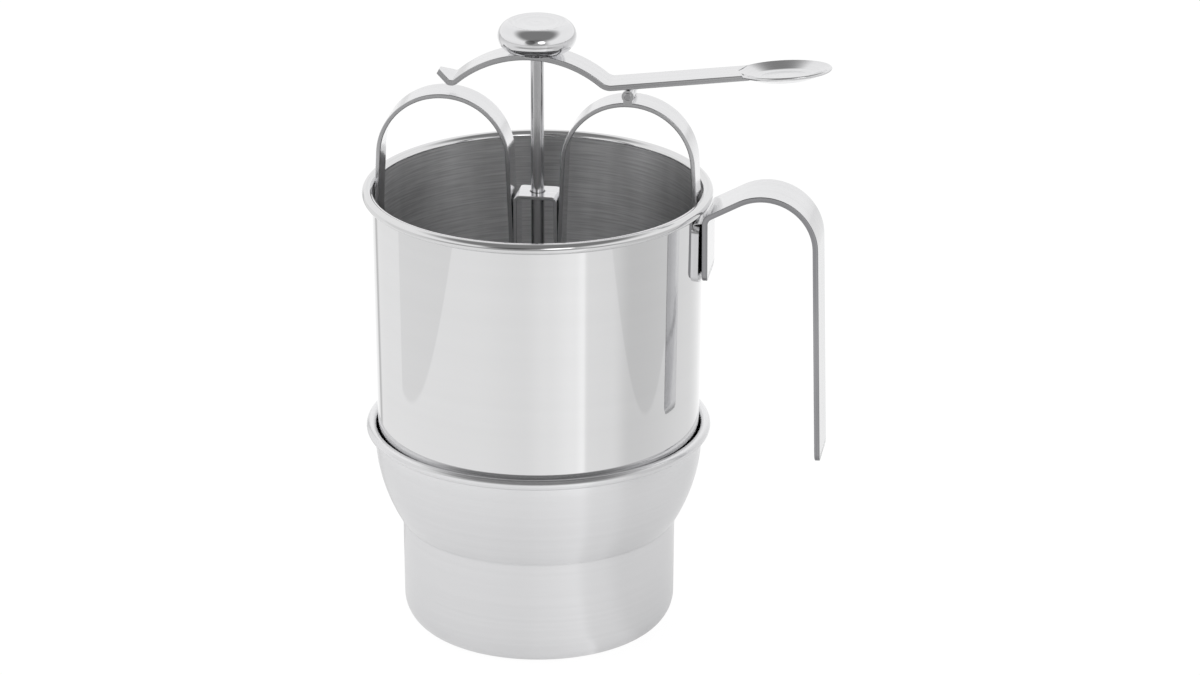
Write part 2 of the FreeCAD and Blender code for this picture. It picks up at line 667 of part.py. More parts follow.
def make_lever_knuckle(lever):
    """The lever's knuckle, welded under the arm and running on the pin between the bow's knuckles."""
    half_width = LEVER_KNUCKLE_WIDTH / 2
    half = KNUCKLE_FOOT_WIDTH / 2
    ring = across_bar(KNUCKLE_RADIUS, PIVOT, -half_width, half_width)
    corner = FreeCAD.Vector(-half, -half_width, 0)
    foot = Part.makeBox(2 * half, LEVER_KNUCKLE_WIDTH, ARM_OFFSET, corner)
    foot.rotate(ORIGIN, FreeCAD.Vector(0, 1, 0), -ARM_SLOPE)
    foot.translate(upright(PIVOT))
    body = ring.fuse(foot).removeSplitter().cut(lever)
    bore = across_bar(PIN_DIAMETER / 2 + PIN_RUNNING_GAP, PIVOT, -STRAP_WIDTH, STRAP_WIDTH)
    return body.cut(bore)


# Handle

PAD_TOP = VESSEL_RIM_HEIGHT - HANDLE_PAD_TOP_DROP
PAD_BOTTOM = PAD_TOP - HANDLE_PAD_HEIGHT
TAB_FACE = wall_radius(PAD_TOP) + CUP_SHEET / 2 + HANDLE_PAD_SHEET - HANDLE_PAD_FLAT


def make_handle_pad():
    """Curved doubler on the wall, with a flat facet for the handle's tab."""
    low = wall_radius(PAD_BOTTOM) + CUP_SHEET / 2
    high = wall_radius(PAD_TOP) + CUP_SHEET / 2
    section = profile([
        (low, PAD_BOTTOM),
        (low + HANDLE_PAD_SHEET, PAD_BOTTOM),
        (high + HANDLE_PAD_SHEET, PAD_TOP),
        (high, PAD_TOP),
    ])
    span = 2 * math.degrees(HANDLE_PAD_WIDTH / 2 / high)
    section.rotate(ORIGIN, Z_AXIS, -span / 2)
    body = section.revolve(ORIGIN, Z_AXIS, span)
    corners = []
    for edge in body.Edges:
        ends = [vertex.Point for vertex in edge.Vertexes]
        if len(ends) == 2 and abs(ends[0].z - ends[1].z) < NO_LENGTH:
            if abs(math.hypot(ends[0].x, ends[0].y) - math.hypot(ends[1].x, ends[1].y)) > CUP_SHEET:
                corners.append(edge)
    body = rounded(body, corners, HANDLE_PAD_CORNER)
    box = Part.makeBox(
        HANDLE_PAD_WIDTH,
        2 * HANDLE_PAD_WIDTH,
        2 * HANDLE_PAD_HEIGHT,
        FreeCAD.Vector(TAB_FACE, -HANDLE_PAD_WIDTH, PAD_BOTTOM - HANDLE_PAD_HEIGHT / 2),
    )
    return body.cut(box)


def make_handle_strap():
    """Tab on the pad, rise over the rim, round crown and straight free leg."""
    line_x = TAB_FACE + HANDLE_THICKNESS / 2
    knee = (line_x, VESSEL_RIM_HEIGHT - HANDLE_TAB_TOP_DROP)
    rise = math.radians(HANDLE_RISE)
    lean = math.radians(HANDLE_LEG_LEAN)
    leg_x = line_x + HANDLE_REACH
    crown = crossing(knee, rise, (leg_x, VESSEL_RIM_HEIGHT), -UP + lean)
    end = crossing(crown, -UP + lean, (0, VESSEL_RIM_HEIGHT - HANDLE_END_DROP), 0)
    corners = [(line_x, knee[1] - HANDLE_TAB_LENGTH), knee, crown, end]
    line = bent_line(corners, [HANDLE_BEND_RADIUS, HANDLE_CROWN_RADIUS])
    body = strap(line, HANDLE_THICKNESS, HANDLE_WIDTH)
    ends = []
    for edge in body.Edges:
        box = edge.BoundBox
        if box.YLength < NO_LENGTH and abs(box.XLength - HANDLE_THICKNESS) < 0.01 * HANDLE_THICKNESS:
            if box.ZLength < HANDLE_THICKNESS / 4:
                ends.append(edge)
    body = rounded(body, ends, HANDLE_CORNER_RADIUS)
    return body


def main():
    os.makedirs("parts", exist_ok=True)
    shell = make_vessel_shell()
    thumb = make_thumb_rest()
    lever = make_lever_strap(thumb)
    right_bow = make_bow(1, shell)
    plug, plug_top = make_valve_plug()
    nodes = {
        "stand_cup": make_stand_cup(),
        "vessel_shell": shell,
        "vessel_cone": make_vessel_cone(),
        "outlet_spout": make_outlet_spout(),
        "handle_pad": make_handle_pad(),
        "handle_strap": make_handle_strap(),
        "left_bow": make_bow(-1, shell),
        "right_bow": right_bow,
        "guide_bridge": make_guide_bridge(),
        "bow_knuckles": make_bow_knuckles(right_bow),
        "pivot_pin": make_pivot_pin(),
        "lever_strap": lever,
        "lever_knuckle": make_lever_knuckle(lever),
        "thumb_rest": thumb,
        "valve_rod": make_valve_rod(plug_top),
        "valve_plug": plug,
        "knob": make_knob(),
    }
    for name, shape in nodes.items():
        shape.exportStep("parts/" + name + ".step")


main()
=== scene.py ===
import math
import bpy
import numpy as np
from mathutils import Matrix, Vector


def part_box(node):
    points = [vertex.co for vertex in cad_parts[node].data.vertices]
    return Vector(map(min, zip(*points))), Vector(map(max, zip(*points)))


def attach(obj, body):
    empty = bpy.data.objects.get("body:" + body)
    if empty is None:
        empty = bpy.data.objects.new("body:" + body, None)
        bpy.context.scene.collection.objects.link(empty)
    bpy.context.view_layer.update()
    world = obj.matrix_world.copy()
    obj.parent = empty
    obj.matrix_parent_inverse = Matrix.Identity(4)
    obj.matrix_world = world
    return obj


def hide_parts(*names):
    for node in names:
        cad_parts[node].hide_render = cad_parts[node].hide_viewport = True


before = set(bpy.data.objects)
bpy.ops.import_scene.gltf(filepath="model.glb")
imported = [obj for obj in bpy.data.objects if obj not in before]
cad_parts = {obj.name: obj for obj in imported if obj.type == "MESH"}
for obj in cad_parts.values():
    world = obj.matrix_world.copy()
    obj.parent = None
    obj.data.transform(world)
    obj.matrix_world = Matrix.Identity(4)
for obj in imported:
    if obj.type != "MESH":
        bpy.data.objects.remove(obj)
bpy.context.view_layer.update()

# Sizes in metres. The frame is the part's own: origin under the middle of the stand, +Z up,
# +X towards the handle and the thumb rest.
MM = 0.001
SHEET = 0.6 * MM
STRAP_WIDTH = 12.4 * MM
STRAP_ROUND = 0.32 * MM

VESSEL_RADIUS = 60.0 * MM
VESSEL_RIM = 167.0 * MM
VESSEL_TAPER = math.radians(0.8)
VESSEL_CORNER = 8.0 * MM
VESSEL_CURL = 2.05 * MM
FUNNEL_SLOPE = math.radians(35.0)
FLANGE = 3.0 * MM

FOOT_RADIUS = 49.5 * MM
FOOT_CORNER = 11.0 * MM
FOOT_TAPER = math.radians(0.6)
SHOULDER_RADIUS = 62.0 * MM
WAIST_BEND = 1.6 * MM
STAND_RIM = 77.0 * MM
STAND_RIM_RUN = 2.5 * MM
STAND_CURL = 1.86 * MM
CURL_START = 0.2 * MM
CURL_OVERHANG = 0.05 * MM
SEAT_ANGLE = math.radians(6.0)
SEAT_GAP = 0.3 * MM
CURL_SWEEP = math.radians(295.0)

KNOB_BOTTOM = 220.52 * MM
KNOB_RADIUS = 14.2 * MM
KNOB_FOOT = 9.5 * MM
KNOB_FACE = 10.5 * MM
KNOB_HEIGHT = 10.6 * MM
KNOB_WAIST = 5.2 * MM
KNOB_DISH = 0.4 * MM
KNOB_LIP = 0.35 * MM
KNOB_LIP_END = math.radians(200.0)

BOW_THICKNESS = 1.6 * MM
BOW_INNER_LEAN = math.radians(2.4)
BOW_OUTER_LEAN = math.radians(2.6)
BOW_INNER_KINK_DROP = 16.0 * MM
BOW_OUTER_KINK_DROP = 9.0 * MM
BOW_KINK_RADIUS = 14.0 * MM
BOW_INNER_FOOT = 20.0 * MM
BOW_OUTER_FOOT = 18.0 * MM
BOW_WALL_STANDOFF = 0.2 * MM
BOW_CROWN_FLAT = 0.4 * MM

HANDLE_THICKNESS = 2.1 * MM
HANDLE_WIDTH = 20.0 * MM
HANDLE_CORNER = 3.0 * MM
HANDLE_TAB_DROP = 4.4 * MM
HANDLE_TAB_LENGTH = 24.2 * MM
HANDLE_KNEE_RADIUS = 3.5 * MM
HANDLE_RISE = math.radians(28.0)
HANDLE_REACH = 39.7 * MM
HANDLE_CROWN_RADIUS = 19.0 * MM
HANDLE_LEG_LEAN = math.radians(1.15)

THUMB_LENGTH = 34.0 * MM
THUMB_WIDTH = 21.0 * MM
THUMB_SHEET = 1.2 * MM
THUMB_DEPTH = 3.6 * MM
THUMB_FLOOR = 10.0 * MM
THUMB_BEND = 9.0 * MM
THUMB_TILT = math.radians(5.0)

LEVER_THICKNESS = 2.1 * MM
ARM_HEADING = math.radians(7.3)
ARM_OVER_PIVOT = 2.5 * MM
ARM_LENGTH = 43.6 * MM
ARM_LAST_RUN = 3.0 * MM
THUMB_OVERLAP = 4.6 * MM
TUCK = 0.6 * MM
TUCK_SLANT = 1.8 * MM
VALLEY_RADIUS = 5.0 * MM
HUMP_RADIUS = 41.0 * MM
HUMP_OFFSET = 1.6 * MM
TIP_BEND_RADIUS = 2.4 * MM
TIP_BEND_HEIGHT = 3.4 * MM
TIP_HEADING = -math.radians(28.0)
TIP_LENGTH = 5.0 * MM
TIP_END_WIDTH = 3.4 * MM
SLOT_START = -5.21 * MM
SLOT_END = 0.2 * MM
SLOT_HALF = 2.8 * MM

UP = math.pi / 2

# Points on each rounded corner of a strap's section
ROUND_POINTS = 5
# Two neighbouring points' sideways normals add up to more than this on a strap's narrow face
NARROW = 1.5


# Paths: arrays of points with the direction of travel at each, in an upright plane

def turned_left(direction):
    """Each direction turned a quarter turn to the left."""
    return np.stack([-direction[:, 1], direction[:, 0]], axis=1)


def unit(angle):
    """Unit vectors at the given angles."""
    return np.stack([np.cos(angle), np.sin(angle)], axis=-1)


def run(start, end, count=2):
    """A straight run: points spread evenly from start to end."""
    start = np.asarray(start, float)
    end = np.asarray(end, float)
    share = np.linspace(0, 1, count)[:, None]
    heading = (end - start) / np.linalg.norm(end - start)
    return start + share * (end - start), np.repeat(heading[None], count, axis=0)


def arc(centre, radius, begin, sweep, step=math.radians(3)):
    """A round run: centre + radius (cos a, sin a), with a going from begin through sweep."""
    count = max(3, int(abs(sweep) / step) + 2)
    angle = begin + np.linspace(0, 1, count) * sweep
    return np.asarray(centre) + radius * unit(angle), unit(angle + math.copysign(UP, sweep))


def joined(*pieces):
    """Pieces of path laid end to end, each meeting point kept once."""
    points = [pieces[0][0]] + [piece[0][1:] for piece in pieces[1:]]
    headings = [pieces[0][1]] + [piece[1][1:] for piece in pieces[1:]]
    return np.concatenate(points), np.concatenate(headings)


def moved(point, angle, distance):
    """The point that lies a distance away at an angle."""
    return np.asarray(point, float) + distance * unit(np.asarray(angle))


def angle_of(vector):
    """Direction of a vector."""
    return math.atan2(vector[1], vector[0])


def turn_between(before, after):
    """Angle from one heading to another, by the shorter way."""
    return (after - before + math.pi) % (2 * math.pi) - math.pi


def at_reach(centre, reach, point, heading, way):
    """The point on a line that lies at a reach from a centre, on the one side or the other."""
    gap = np.asarray(centre, float) - np.asarray(point, float)
    along = gap @ unit(heading)
    aside = gap @ unit(heading + UP)
    return moved(point, heading, along + way * math.sqrt(reach ** 2 - aside ** 2))


def bent(corners, radii, count=2):
    """Straight runs between corners, each corner rounded by a tangent arc of its radius."""
    corners = [np.asarray(corner, float) for corner in corners]
    pieces = []
    start = corners[0]
    for before, corner, after, radius in zip(corners, corners[1:], corners[2:], radii):
        into = angle_of(corner - before)
        out = angle_of(after - corner)
        turn = turn_between(into, out)
        setback = radius * math.tan(abs(turn) / 2)
        side = math.copysign(UP, turn)
        bend_start = moved(corner, into, -setback)
        pieces.append(run(start, bend_start, count))
        pieces.append(arc(moved(bend_start, into + side, radius), radius, into - side, turn))
        start = moved(corner, out, setback)
    pieces.append(run(start, corners[-1], count))
    return joined(*pieces)


def sheet_outline(path, thickness, from_axis=False):
    """Outline of a sheet about its middle path: path + h N going out, round the end, path - h N coming
    back, and round the start unless that lies on the axis. Each point has its outward normal."""
    points, headings = path
    left = turned_left(headings)
    half = thickness / 2
    turn = np.linspace(0, math.pi, 9)[1:-1, None]
    end_normals = left[-1] * np.cos(turn) + headings[-1] * np.sin(turn)
    start_normals = -left[0] * np.cos(turn) - headings[0] * np.sin(turn)
    outline = [points + half * left, points[-1] + half * end_normals, points[::-1] - half * left[::-1]]
    normals = [left, end_normals, -left[::-1]]
    if not from_axis:
        outline.append(points[0] + half * start_normals)
        normals.append(start_normals)
    return np.concatenate(outline), np.concatenate(normals)


# Meshes

def make_piece(name, points, normals, parts, materials, node, body):
    """One finished piece with its own normals and UV map, standing for a node of the frame. Each part is
    an array of faces, their UV corners and their material's number. A face whose corners go round
    against its normals is turned over."""
    faces = []
    uv = []
    numbers = []
    for corners, corner_uv, number in parts:
        place = points[corners]
        facing = np.cross(place[:, 2] - place[:, 0], place[:, -1] - place[:, 1])
        against = (facing * normals[corners].mean(axis=1)).sum(axis=1) < 0
        corners = np.where(against[:, None], corners[:, ::-1], corners)
        corner_uv = np.where(against[:, None, None], corner_uv[:, ::-1], corner_uv)
        faces += corners.tolist()
        uv.append(corner_uv.reshape(-1, 2))
        numbers.append(np.broadcast_to(number, len(corners)))
    mesh = bpy.data.meshes.new(name)
    mesh.from_pydata(points.tolist(), [], faces)
    mesh.uv_layers.new(name="UVMap")
    mesh.uv_layers[0].data.foreach_set("uv", np.concatenate(uv).astype(np.float32).ravel())
    mesh.polygons.foreach_set("use_smooth", np.ones(len(mesh.polygons), bool))
    for material in materials:
        mesh.materials.append(material)
    mesh.polygons.foreach_set("material_index", np.concatenate(numbers).astype(np.int32))
    mesh.update()
    mesh.normals_split_custom_set_from_vertices(normals.tolist())
    piece = bpy.data.objects.new(name, mesh)
    bpy.context.scene.collection.objects.link(piece)
    if node:
        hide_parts(node)
    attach(piece, body)
    return piece


def grid_faces(rows, columns, wrap):
    """Quads of a grid of rows x columns points, and the row and column where each starts."""
    column = np.arange(columns if wrap else columns - 1)
    i, j = (index.ravel() for index in np.meshgrid(np.arange(rows - 1), column, indexing="ij"))
    after = (j + 1) % columns
    quads = np.stack([i * columns + j, (i + 1) * columns + j, (i + 1) * columns + after,
                      i * columns + after], axis=-1)
    return quads, i, j


def grid_uv(i, j, along, girth):
    """UV corners of grid quads, from the distances along the rows and round the columns."""
    u = np.stack([along[i], along[i + 1], along[i + 1], along[i]], axis=-1)
    v = np.stack([girth[j], girth[j], girth[j + 1], girth[j + 1]], axis=-1)
    return np.stack([u, v], axis=-1)


def distances(points):
    """Distance travelled along a line of points, at each of them."""
    return np.concatenate([[0], np.cumsum(np.linalg.norm(np.diff(points, axis=0), axis=1))])


def turned(outline, around=240, squeeze=1.0, number=0):
    """Points, normals and parts of a turned piece: each outline point (r, z) goes to
    (r cos a, s r sin a, z) for a from 0 to a full turn, s being the squeeze. An outline that starts on
    the axis also ends there, and closes in a fan of triangles at each of its two poles. number is the
    material's number, or an array with one for each stretch of the outline."""
    profile, slopes = outline
    angle = np.linspace(0, 2 * math.pi, around, endpoint=False)
    solid = profile[0, 0] < 1e-7
    if not solid:
        profile = np.concatenate([profile, profile[:1]])
        slopes = np.concatenate([slopes, slopes[:1]])
    radius, height = profile[:, :1], profile[:, 1:]
    points = np.stack([
        radius * np.cos(angle),
        squeeze * radius * np.sin(angle),
        np.repeat(height, around, axis=1),
    ], axis=-1)
    normals = np.stack([
        slopes[:, :1] * np.cos(angle),
        slopes[:, :1] * np.sin(angle) / squeeze,
        np.repeat(slopes[:, 1:], around, axis=1),
    ], axis=-1)
    normals /= np.linalg.norm(normals, axis=-1, keepdims=True)
    inner = slice(1, -1) if solid else slice(None)
    grid = points[inner]
    quads, i, j = grid_faces(len(grid), around, True)
    along = distances(profile)[inner]
    girth = np.arange(around + 1) * (2 * math.pi / around * radius.mean())
    points = grid.reshape(-1, 3)
    flat_normals = normals[inner].reshape(-1, 3)
    numbers = np.broadcast_to(number, len(grid) - 1)[i]
    parts = [(quads, grid_uv(i, j, along, girth)[..., ::-1], numbers)]
    if solid:
        column = np.arange(around)
        after = (column + 1) % around
        for pole, row, row_start in ((0, 0, 0), (1, -1, len(points) - around)):
            hub = np.full(around, len(points) + pole)
            fan = np.stack([hub, row_start + column, row_start + after], axis=-1)
            fan_uv = np.stack([
                np.stack([girth[:-1], girth[:-1], girth[1:]], axis=-1),
                np.stack([0 * column, along[row] + 0 * column, along[row] + 0 * column], axis=-1),
            ], axis=-1)
            parts.append((fan, fan_uv, 0))
        hubs = np.array([[0, 0, profile[0, 1]], [0, 0, profile[-1, 1]]])
        hub_normals = np.array([[0, 0, slopes[0, 1]], [0, 0, slopes[-1, 1]]])
        points = np.concatenate([points, hubs])
        flat_normals = np.concatenate([flat_normals, hub_normals])
    return points, flat_normals, parts


def lathe(name, outline, materials, node, body, around=240, number=0):
    """A turned piece."""
    points, normals, parts = turned(outline, around, 1.0, number)
    return make_piece(name, points, normals, parts, materials, node, body)


def strap_section(half_width, half_thickness, radius):
    """Rounded rectangle in (across, through), as points and outward normals, once round."""
    points = []
    normals = []
    for quarter, (sx, sz) in enumerate([(1, 1), (-1, 1), (-1, -1), (1, -1)]):
        turn = unit(np.linspace(0, UP, ROUND_POINTS) + quarter * UP)
        middle = np.array([sx * (half_width - radius), sz * (half_thickness - radius)])
        points.append(middle + radius * turn)
        normals.append(turn)
    return np.concatenate(points), np.concatenate(normals)


def carried(centre, heading, across, through, normal_across, normal_through, normal_ahead):
    """A grid carried along a path in the X-Z plane: the point at P(s) + b N(s), and at a across the
    plane. Points and normals as rows x columns x 3."""
    left = turned_left(heading)[:, None]
    ahead = heading[:, None]
    points = np.stack(np.broadcast_arrays(
        centre[:, None, 0] + through * left[..., 0],
        across,
        centre[:, None, 1] + through * left[..., 1],
    ), axis=-1)
    normals = np.stack(np.broadcast_arrays(
        normal_through * left[..., 0] + normal_ahead * ahead[..., 0],
        normal_across,
        normal_through * left[..., 1] + normal_ahead * ahead[..., 1],
    ), axis=-1)
    return points, normals


def strap(name, path, thickness, width, materials, node, body, corner=None, mirror=False):
    """A bent strap: a rounded rectangle carried along the path. Its last bit at each end shrinks along a
    quarter circle, so that the end's edges are round. Its narrow faces take the second material."""
    points, headings = path
    ends = STRAP_ROUND * 0.9
    corner = corner or ends
    turn = np.linspace(0, UP, 8)
    flat = np.zeros(len(points) - 2)
    shrink = np.concatenate([1 - np.cos(turn[::-1]), flat, 1 - np.cos(turn)])[:, None]
    tilt = np.concatenate([-turn[::-1], flat, turn])[:, None]
    first = points[0] + headings[0] * (corner * (1 - np.sin(turn[::-1])))[:, None]
    last = points[-1] - headings[-1] * (corner * (1 - np.sin(turn)))[:, None]
    centre = np.concatenate([first, points[1:-1], last])
    heading = np.concatenate([np.repeat(headings[:1], len(turn), axis=0), headings[1:-1],
                              np.repeat(headings[-1:], len(turn), axis=0)])
    section, outward = strap_section(width / 2, thickness / 2, STRAP_ROUND)
    sign = np.sign(section)
    grid, normals = carried(
        centre, heading,
        section[:, 0] - sign[:, 0] * corner * shrink,
        section[:, 1] - sign[:, 1] * ends * shrink,
        np.cos(tilt) * outward[:, 0], np.cos(tilt) * outward[:, 1], np.sin(tilt),
    )
    rows, columns = grid.shape[:2]
    quads, i, j = grid_faces(rows, columns, True)
    uv = grid_uv(i, j, distances(centre), distances(np.concatenate([section, section[:1]])))
    narrow = np.abs(outward[j, 0] + outward[(j + 1) % columns, 0]) > NARROW
    parts = [(quads, uv, narrow.astype(int))]
    side = np.arange(columns // 2 - 1)
    cap = np.stack([side, side + 1, columns - 2 - side, columns - 1 - side], axis=-1)
    for start in (0, (rows - 1) * columns):
        parts.append((start + cap, section[cap][..., ::-1], 1))
    turn_over = np.array([-1.0 if mirror else 1.0, 1.0, 1.0])
    return make_piece(name, grid.reshape(-1, 3) * turn_over, normals.reshape(-1, 3) * turn_over, parts,
                      materials, node, body)


# Shader groups

def new_group(name, inputs, outputs):
    """An empty shader group with named inputs (kind, default) and outputs (kind)."""
    group = bpy.data.node_groups.new(name, "ShaderNodeTree")
    for label, kind, default in inputs:
        socket = group.interface.new_socket(label, in_out="INPUT", socket_type=kind)
        if default is not None:
            socket.default_value = default
    for label, kind in outputs:
        group.interface.new_socket(label, in_out="OUTPUT", socket_type=kind)
    return group, group.nodes.new("NodeGroupInput"), group.nodes.new("NodeGroupOutput")


def math_node(tree, operation, first, second=None, third=None):
    """A math node, each input a socket or a number."""
    node = tree.nodes.new("ShaderNodeMath")
    node.operation = operation
    for socket, value in zip(node.inputs, (first, second, third)):
        if value is None:
            continue
        if isinstance(value, (int, float)):
            socket.default_value = value
        else:
            tree.links.new(value, socket)
    return node.outputs[0]


def noise(tree, vector, scale, detail=2.0, roughness=0.5):
    """A noise texture's value on the given coordinates."""
    node = tree.nodes.new("ShaderNodeTexNoise")
    node.inputs["Scale"].default_value = scale
    node.inputs["Detail"].default_value = detail
    node.inputs["Roughness"].default_value = roughness
    tree.links.new(vector, node.inputs["Vector"])
    return node.outputs["Fac"]


def around_group():
    """Coordinates on a turned piece: metres round the axis, metres up the axis."""
    group, _, sink = new_group("round_the_axis", [], [("Vector", "NodeSocketVector")])
    place = group.nodes.new("ShaderNodeTexCoord")
    split = group.nodes.new("ShaderNodeSeparateXYZ")
    group.links.new(place.outputs["Object"], split.inputs[0])
    turn = math_node(group, "ARCTAN2", split.outputs["Y"], split.outputs["X"])
    across = math_node(group, "MULTIPLY", split.outputs["X"], split.outputs["X"])
    square = math_node(group, "MULTIPLY_ADD", split.outputs["Y"], split.outputs["Y"], across)
    radius = math_node(group, "SQRT", square)
    arc_length = math_node(group, "MULTIPLY", turn, VESSEL_RADIUS)
    both = group.nodes.new("ShaderNodeCombineXYZ")
    group.links.new(arc_length, both.inputs["X"])
    group.links.new(math_node(group, "ADD", split.outputs["Z"], radius), both.inputs["Y"])
    group.links.new(both.outputs[0], sink.inputs["Vector"])
    return group


def grain_group():
    """Fine lines left by brushing: noise drawn out along the first coordinate, coarse and fine together."""
    group, source, sink = new_group(
        "brushed_grain",
        [("Vector", "NodeSocketVector", None), ("Along", "NodeSocketFloat", 40.0),
         ("Across", "NodeSocketFloat", 2500.0)],
        [("Height", "NodeSocketFloat"), ("Streaks", "NodeSocketFloat")],
    )
    spread = group.nodes.new("ShaderNodeCombineXYZ")
    group.links.new(source.outputs["Along"], spread.inputs["X"])
    group.links.new(source.outputs["Across"], spread.inputs["Y"])
    spread.inputs["Z"].default_value = 1.0
    drawn = group.nodes.new("ShaderNodeVectorMath")
    drawn.operation = "MULTIPLY"
    group.links.new(source.outputs["Vector"], drawn.inputs[0])
    group.links.new(spread.outputs[0], drawn.inputs[1])
    fine = noise(group, drawn.outputs[0], scale=1.0, detail=3.0, roughness=0.6)
    coarse = noise(group, drawn.outputs[0], scale=0.17, detail=2.0, roughness=0.5)
    group.links.new(math_node(group, "MULTIPLY_ADD", coarse, 0.6, fine), sink.inputs["Height"])
    streaks = group.nodes.new("ShaderNodeMapRange")
    group.links.new(coarse, streaks.inputs["Value"])
    streaks.inputs["From Min"].default_value = 0.35
    streaks.inputs["From Max"].default_value = 0.65
    group.links.new(streaks.outputs[0], sink.inputs["Streaks"])
    return group


def handling_group():
    """Faint marks of handling and rinsing: soft blotches that change how rough the polish is."""
    group, source, sink = new_group(
        "handling_marks",
        [("Scale", "NodeSocketFloat", 30.0)],
        [("Mask", "NodeSocketFloat")],
    )
    place = group.nodes.new("ShaderNodeTexCoord")
    blotch = group.nodes.new("ShaderNodeTexNoise")
    blotch.inputs["Detail"].default_value = 4.0
    blotch.inputs["Roughness"].default_value = 0.62
    group.links.new(place.outputs["Object"], blotch.inputs["Vector"])
    group.links.new(source.outputs["Scale"], blotch.inputs["Scale"])
    spread = group.nodes.new("ShaderNodeMapRange")
    spread.inputs["From Min"].default_value = 0.42
    spread.inputs["From Max"].default_value = 0.72
    group.links.new(blotch.outputs["Fac"], spread.inputs["Value"])
    group.links.new(spread.outputs[0], sink.inputs["Mask"])
    return group


ROUND = around_group()
GRAIN = grain_group()
HANDLING = handling_group()


def placed(tree, group, **values):
    """A shader group placed in a material with its own values."""
    node = tree.nodes.new("ShaderNodeGroup")
    node.node_tree = group
    for label, value in values.items():
        node.inputs[label].default_value = value
    return node


def mapped(tree, value, low, high):
    """A value from 0 to 1 spread to the range from low to high."""
    return math_node(tree, "MULTIPLY_ADD", value, high - low, low)


def shade(tree, factor, dark, light):
    """A colour between two greys or tints."""
    node = tree.nodes.new("ShaderNodeMix")
    node.data_type = "RGBA"
    tree.links.new(factor, node.inputs["Factor"])
    node.inputs["A"].default_value = (*dark, 1.0)
    node.inputs["B"].default_value = (*light, 1.0)
    return node.outputs["Result"]


# Painted sheen inside the vessel: upright light and dark bands painted into the colour in place of the
# highlights of its brushing. How many noise steps to a metre round and up, and their tints
SHEEN_BANDS_ROUND = 38.0
SHEEN_BANDS_UP = 6.0
SHEEN_BAND_DARK = (0.45, 0.45, 0.45)
SHEEN_BAND_LIGHT = (1.3, 1.3, 1.3)
QUARTER_TURN = 0.25


def steel(name, dark, light, smooth, rough, along, across, depth, lines="uv", marks=30.0, stretch=0.0):
    """Stainless steel: a grain of fine lines in its colour and height, and handling marks in its polish.
    lines says what the grain follows: the piece's own UV map, or rings round the part's axis. stretch
    draws the sheen out across such rings, as brushing round the inside of a vessel does, and paints
    upright light and dark bands into the colour, a painted sheen standing in for that brushing's
    highlights."""
    material = bpy.data.materials.new(name)
    material.use_nodes = True
    tree = material.node_tree
    shader = tree.nodes["Principled BSDF"]
    shader.inputs["Metallic"].default_value = 1.0
    if lines == "uv":
        coordinates = tree.nodes.new("ShaderNodeUVMap")
        coordinates.uv_map = "UVMap"
        vector = coordinates.outputs["UV"]
    elif lines == "round":
        vector = placed(tree, ROUND).outputs["Vector"]
    else:
        vector = tree.nodes.new("ShaderNodeTexCoord").outputs["Object"]
    grain = placed(tree, GRAIN, Along=along, Across=across)
    tree.links.new(vector, grain.inputs["Vector"])
    marked = placed(tree, HANDLING, Scale=marks)
    tree.links.new(shade(tree, grain.outputs["Streaks"], dark, light), shader.inputs["Base Color"])
    tree.links.new(mapped(tree, marked.outputs["Mask"], smooth, rough), shader.inputs["Roughness"])
    bump = tree.nodes.new("ShaderNodeBump")
    bump.inputs["Strength"].default_value = 1.0
    bump.inputs["Distance"].default_value = depth
    tree.links.new(grain.outputs["Height"], bump.inputs["Height"])
    tree.links.new(bump.outputs["Normal"], shader.inputs["Normal"])
    if stretch:
        # Painted sheen: upright light and dark bands multiplied into the base colour, standing in for
        # brushing highlights
        bands = placed(tree, GRAIN, Along=SHEEN_BANDS_ROUND, Across=SHEEN_BANDS_UP)
        tree.links.new(vector, bands.inputs["Vector"])
        colour = tree.nodes.new("ShaderNodeMix")
        colour.data_type = "RGBA"
        colour.blend_type = "MULTIPLY"
        colour.inputs["Factor"].default_value = 1.0
        tree.links.new(shader.inputs["Base Color"].links[0].from_socket, colour.inputs["A"])
        tree.links.new(shade(tree, bands.outputs["Height"], SHEEN_BAND_DARK, SHEEN_BAND_LIGHT), colour.inputs["B"])
        tree.links.new(colour.outputs["Result"], shader.inputs["Base Color"])
        tangent = tree.nodes.new("ShaderNodeTangent")
        tangent.direction_type = "RADIAL"
        tangent.axis = "Z"
        tree.links.new(tangent.outputs[0], shader.inputs["Tangent"])
        shader.inputs["Anisotropic"].default_value = stretch
        shader.inputs["Anisotropic Rotation"].default_value = QUARTER_TURN
    return material


MIRROR = steel(
    "mirror_steel", dark=(0.755, 0.755, 0.76), light=(0.765, 0.765, 0.77), smooth=0.03, rough=0.06,
    along=9.0, across=900.0, depth=4e-8, lines="round", marks=22.0,
)
RIM = steel(
    "rolled_rim", dark=(0.70, 0.70, 0.705), light=(0.75, 0.75, 0.755), smooth=0.05, rough=0.10,
    along=30.0, across=4500.0, depth=2e-7, lines="round", marks=60.0,
)
SATIN = steel(
    "satin_steel", dark=(0.765, 0.765, 0.775), light=(0.78, 0.78, 0.79), smooth=0.22, rough=0.27,
    along=30.0, across=4200.0, depth=5e-7, lines="round", marks=26.0,
)
BRUSHED = steel(
    "brushed_inside", dark=(0.62, 0.62, 0.625), light=(0.80, 0.80, 0.805), smooth=0.34, rough=0.42,
    along=320.0, across=9000.0, depth=1.0e-5, lines="round", marks=24.0, stretch=0.7,
)
STRAP = steel(
    "polished_strap", dark=(0.745, 0.745, 0.755), light=(0.78, 0.78, 0.79), smooth=0.12, rough=0.18,
    along=40.0, across=5200.0, depth=4e-7,
)
SOLID = steel(
    "polished_solid", dark=(0.72, 0.72, 0.73), light=(0.77, 0.77, 0.78), smooth=0.12, rough=0.18,
    along=40.0, across=4600.0, depth=4e-7, lines="object",
)
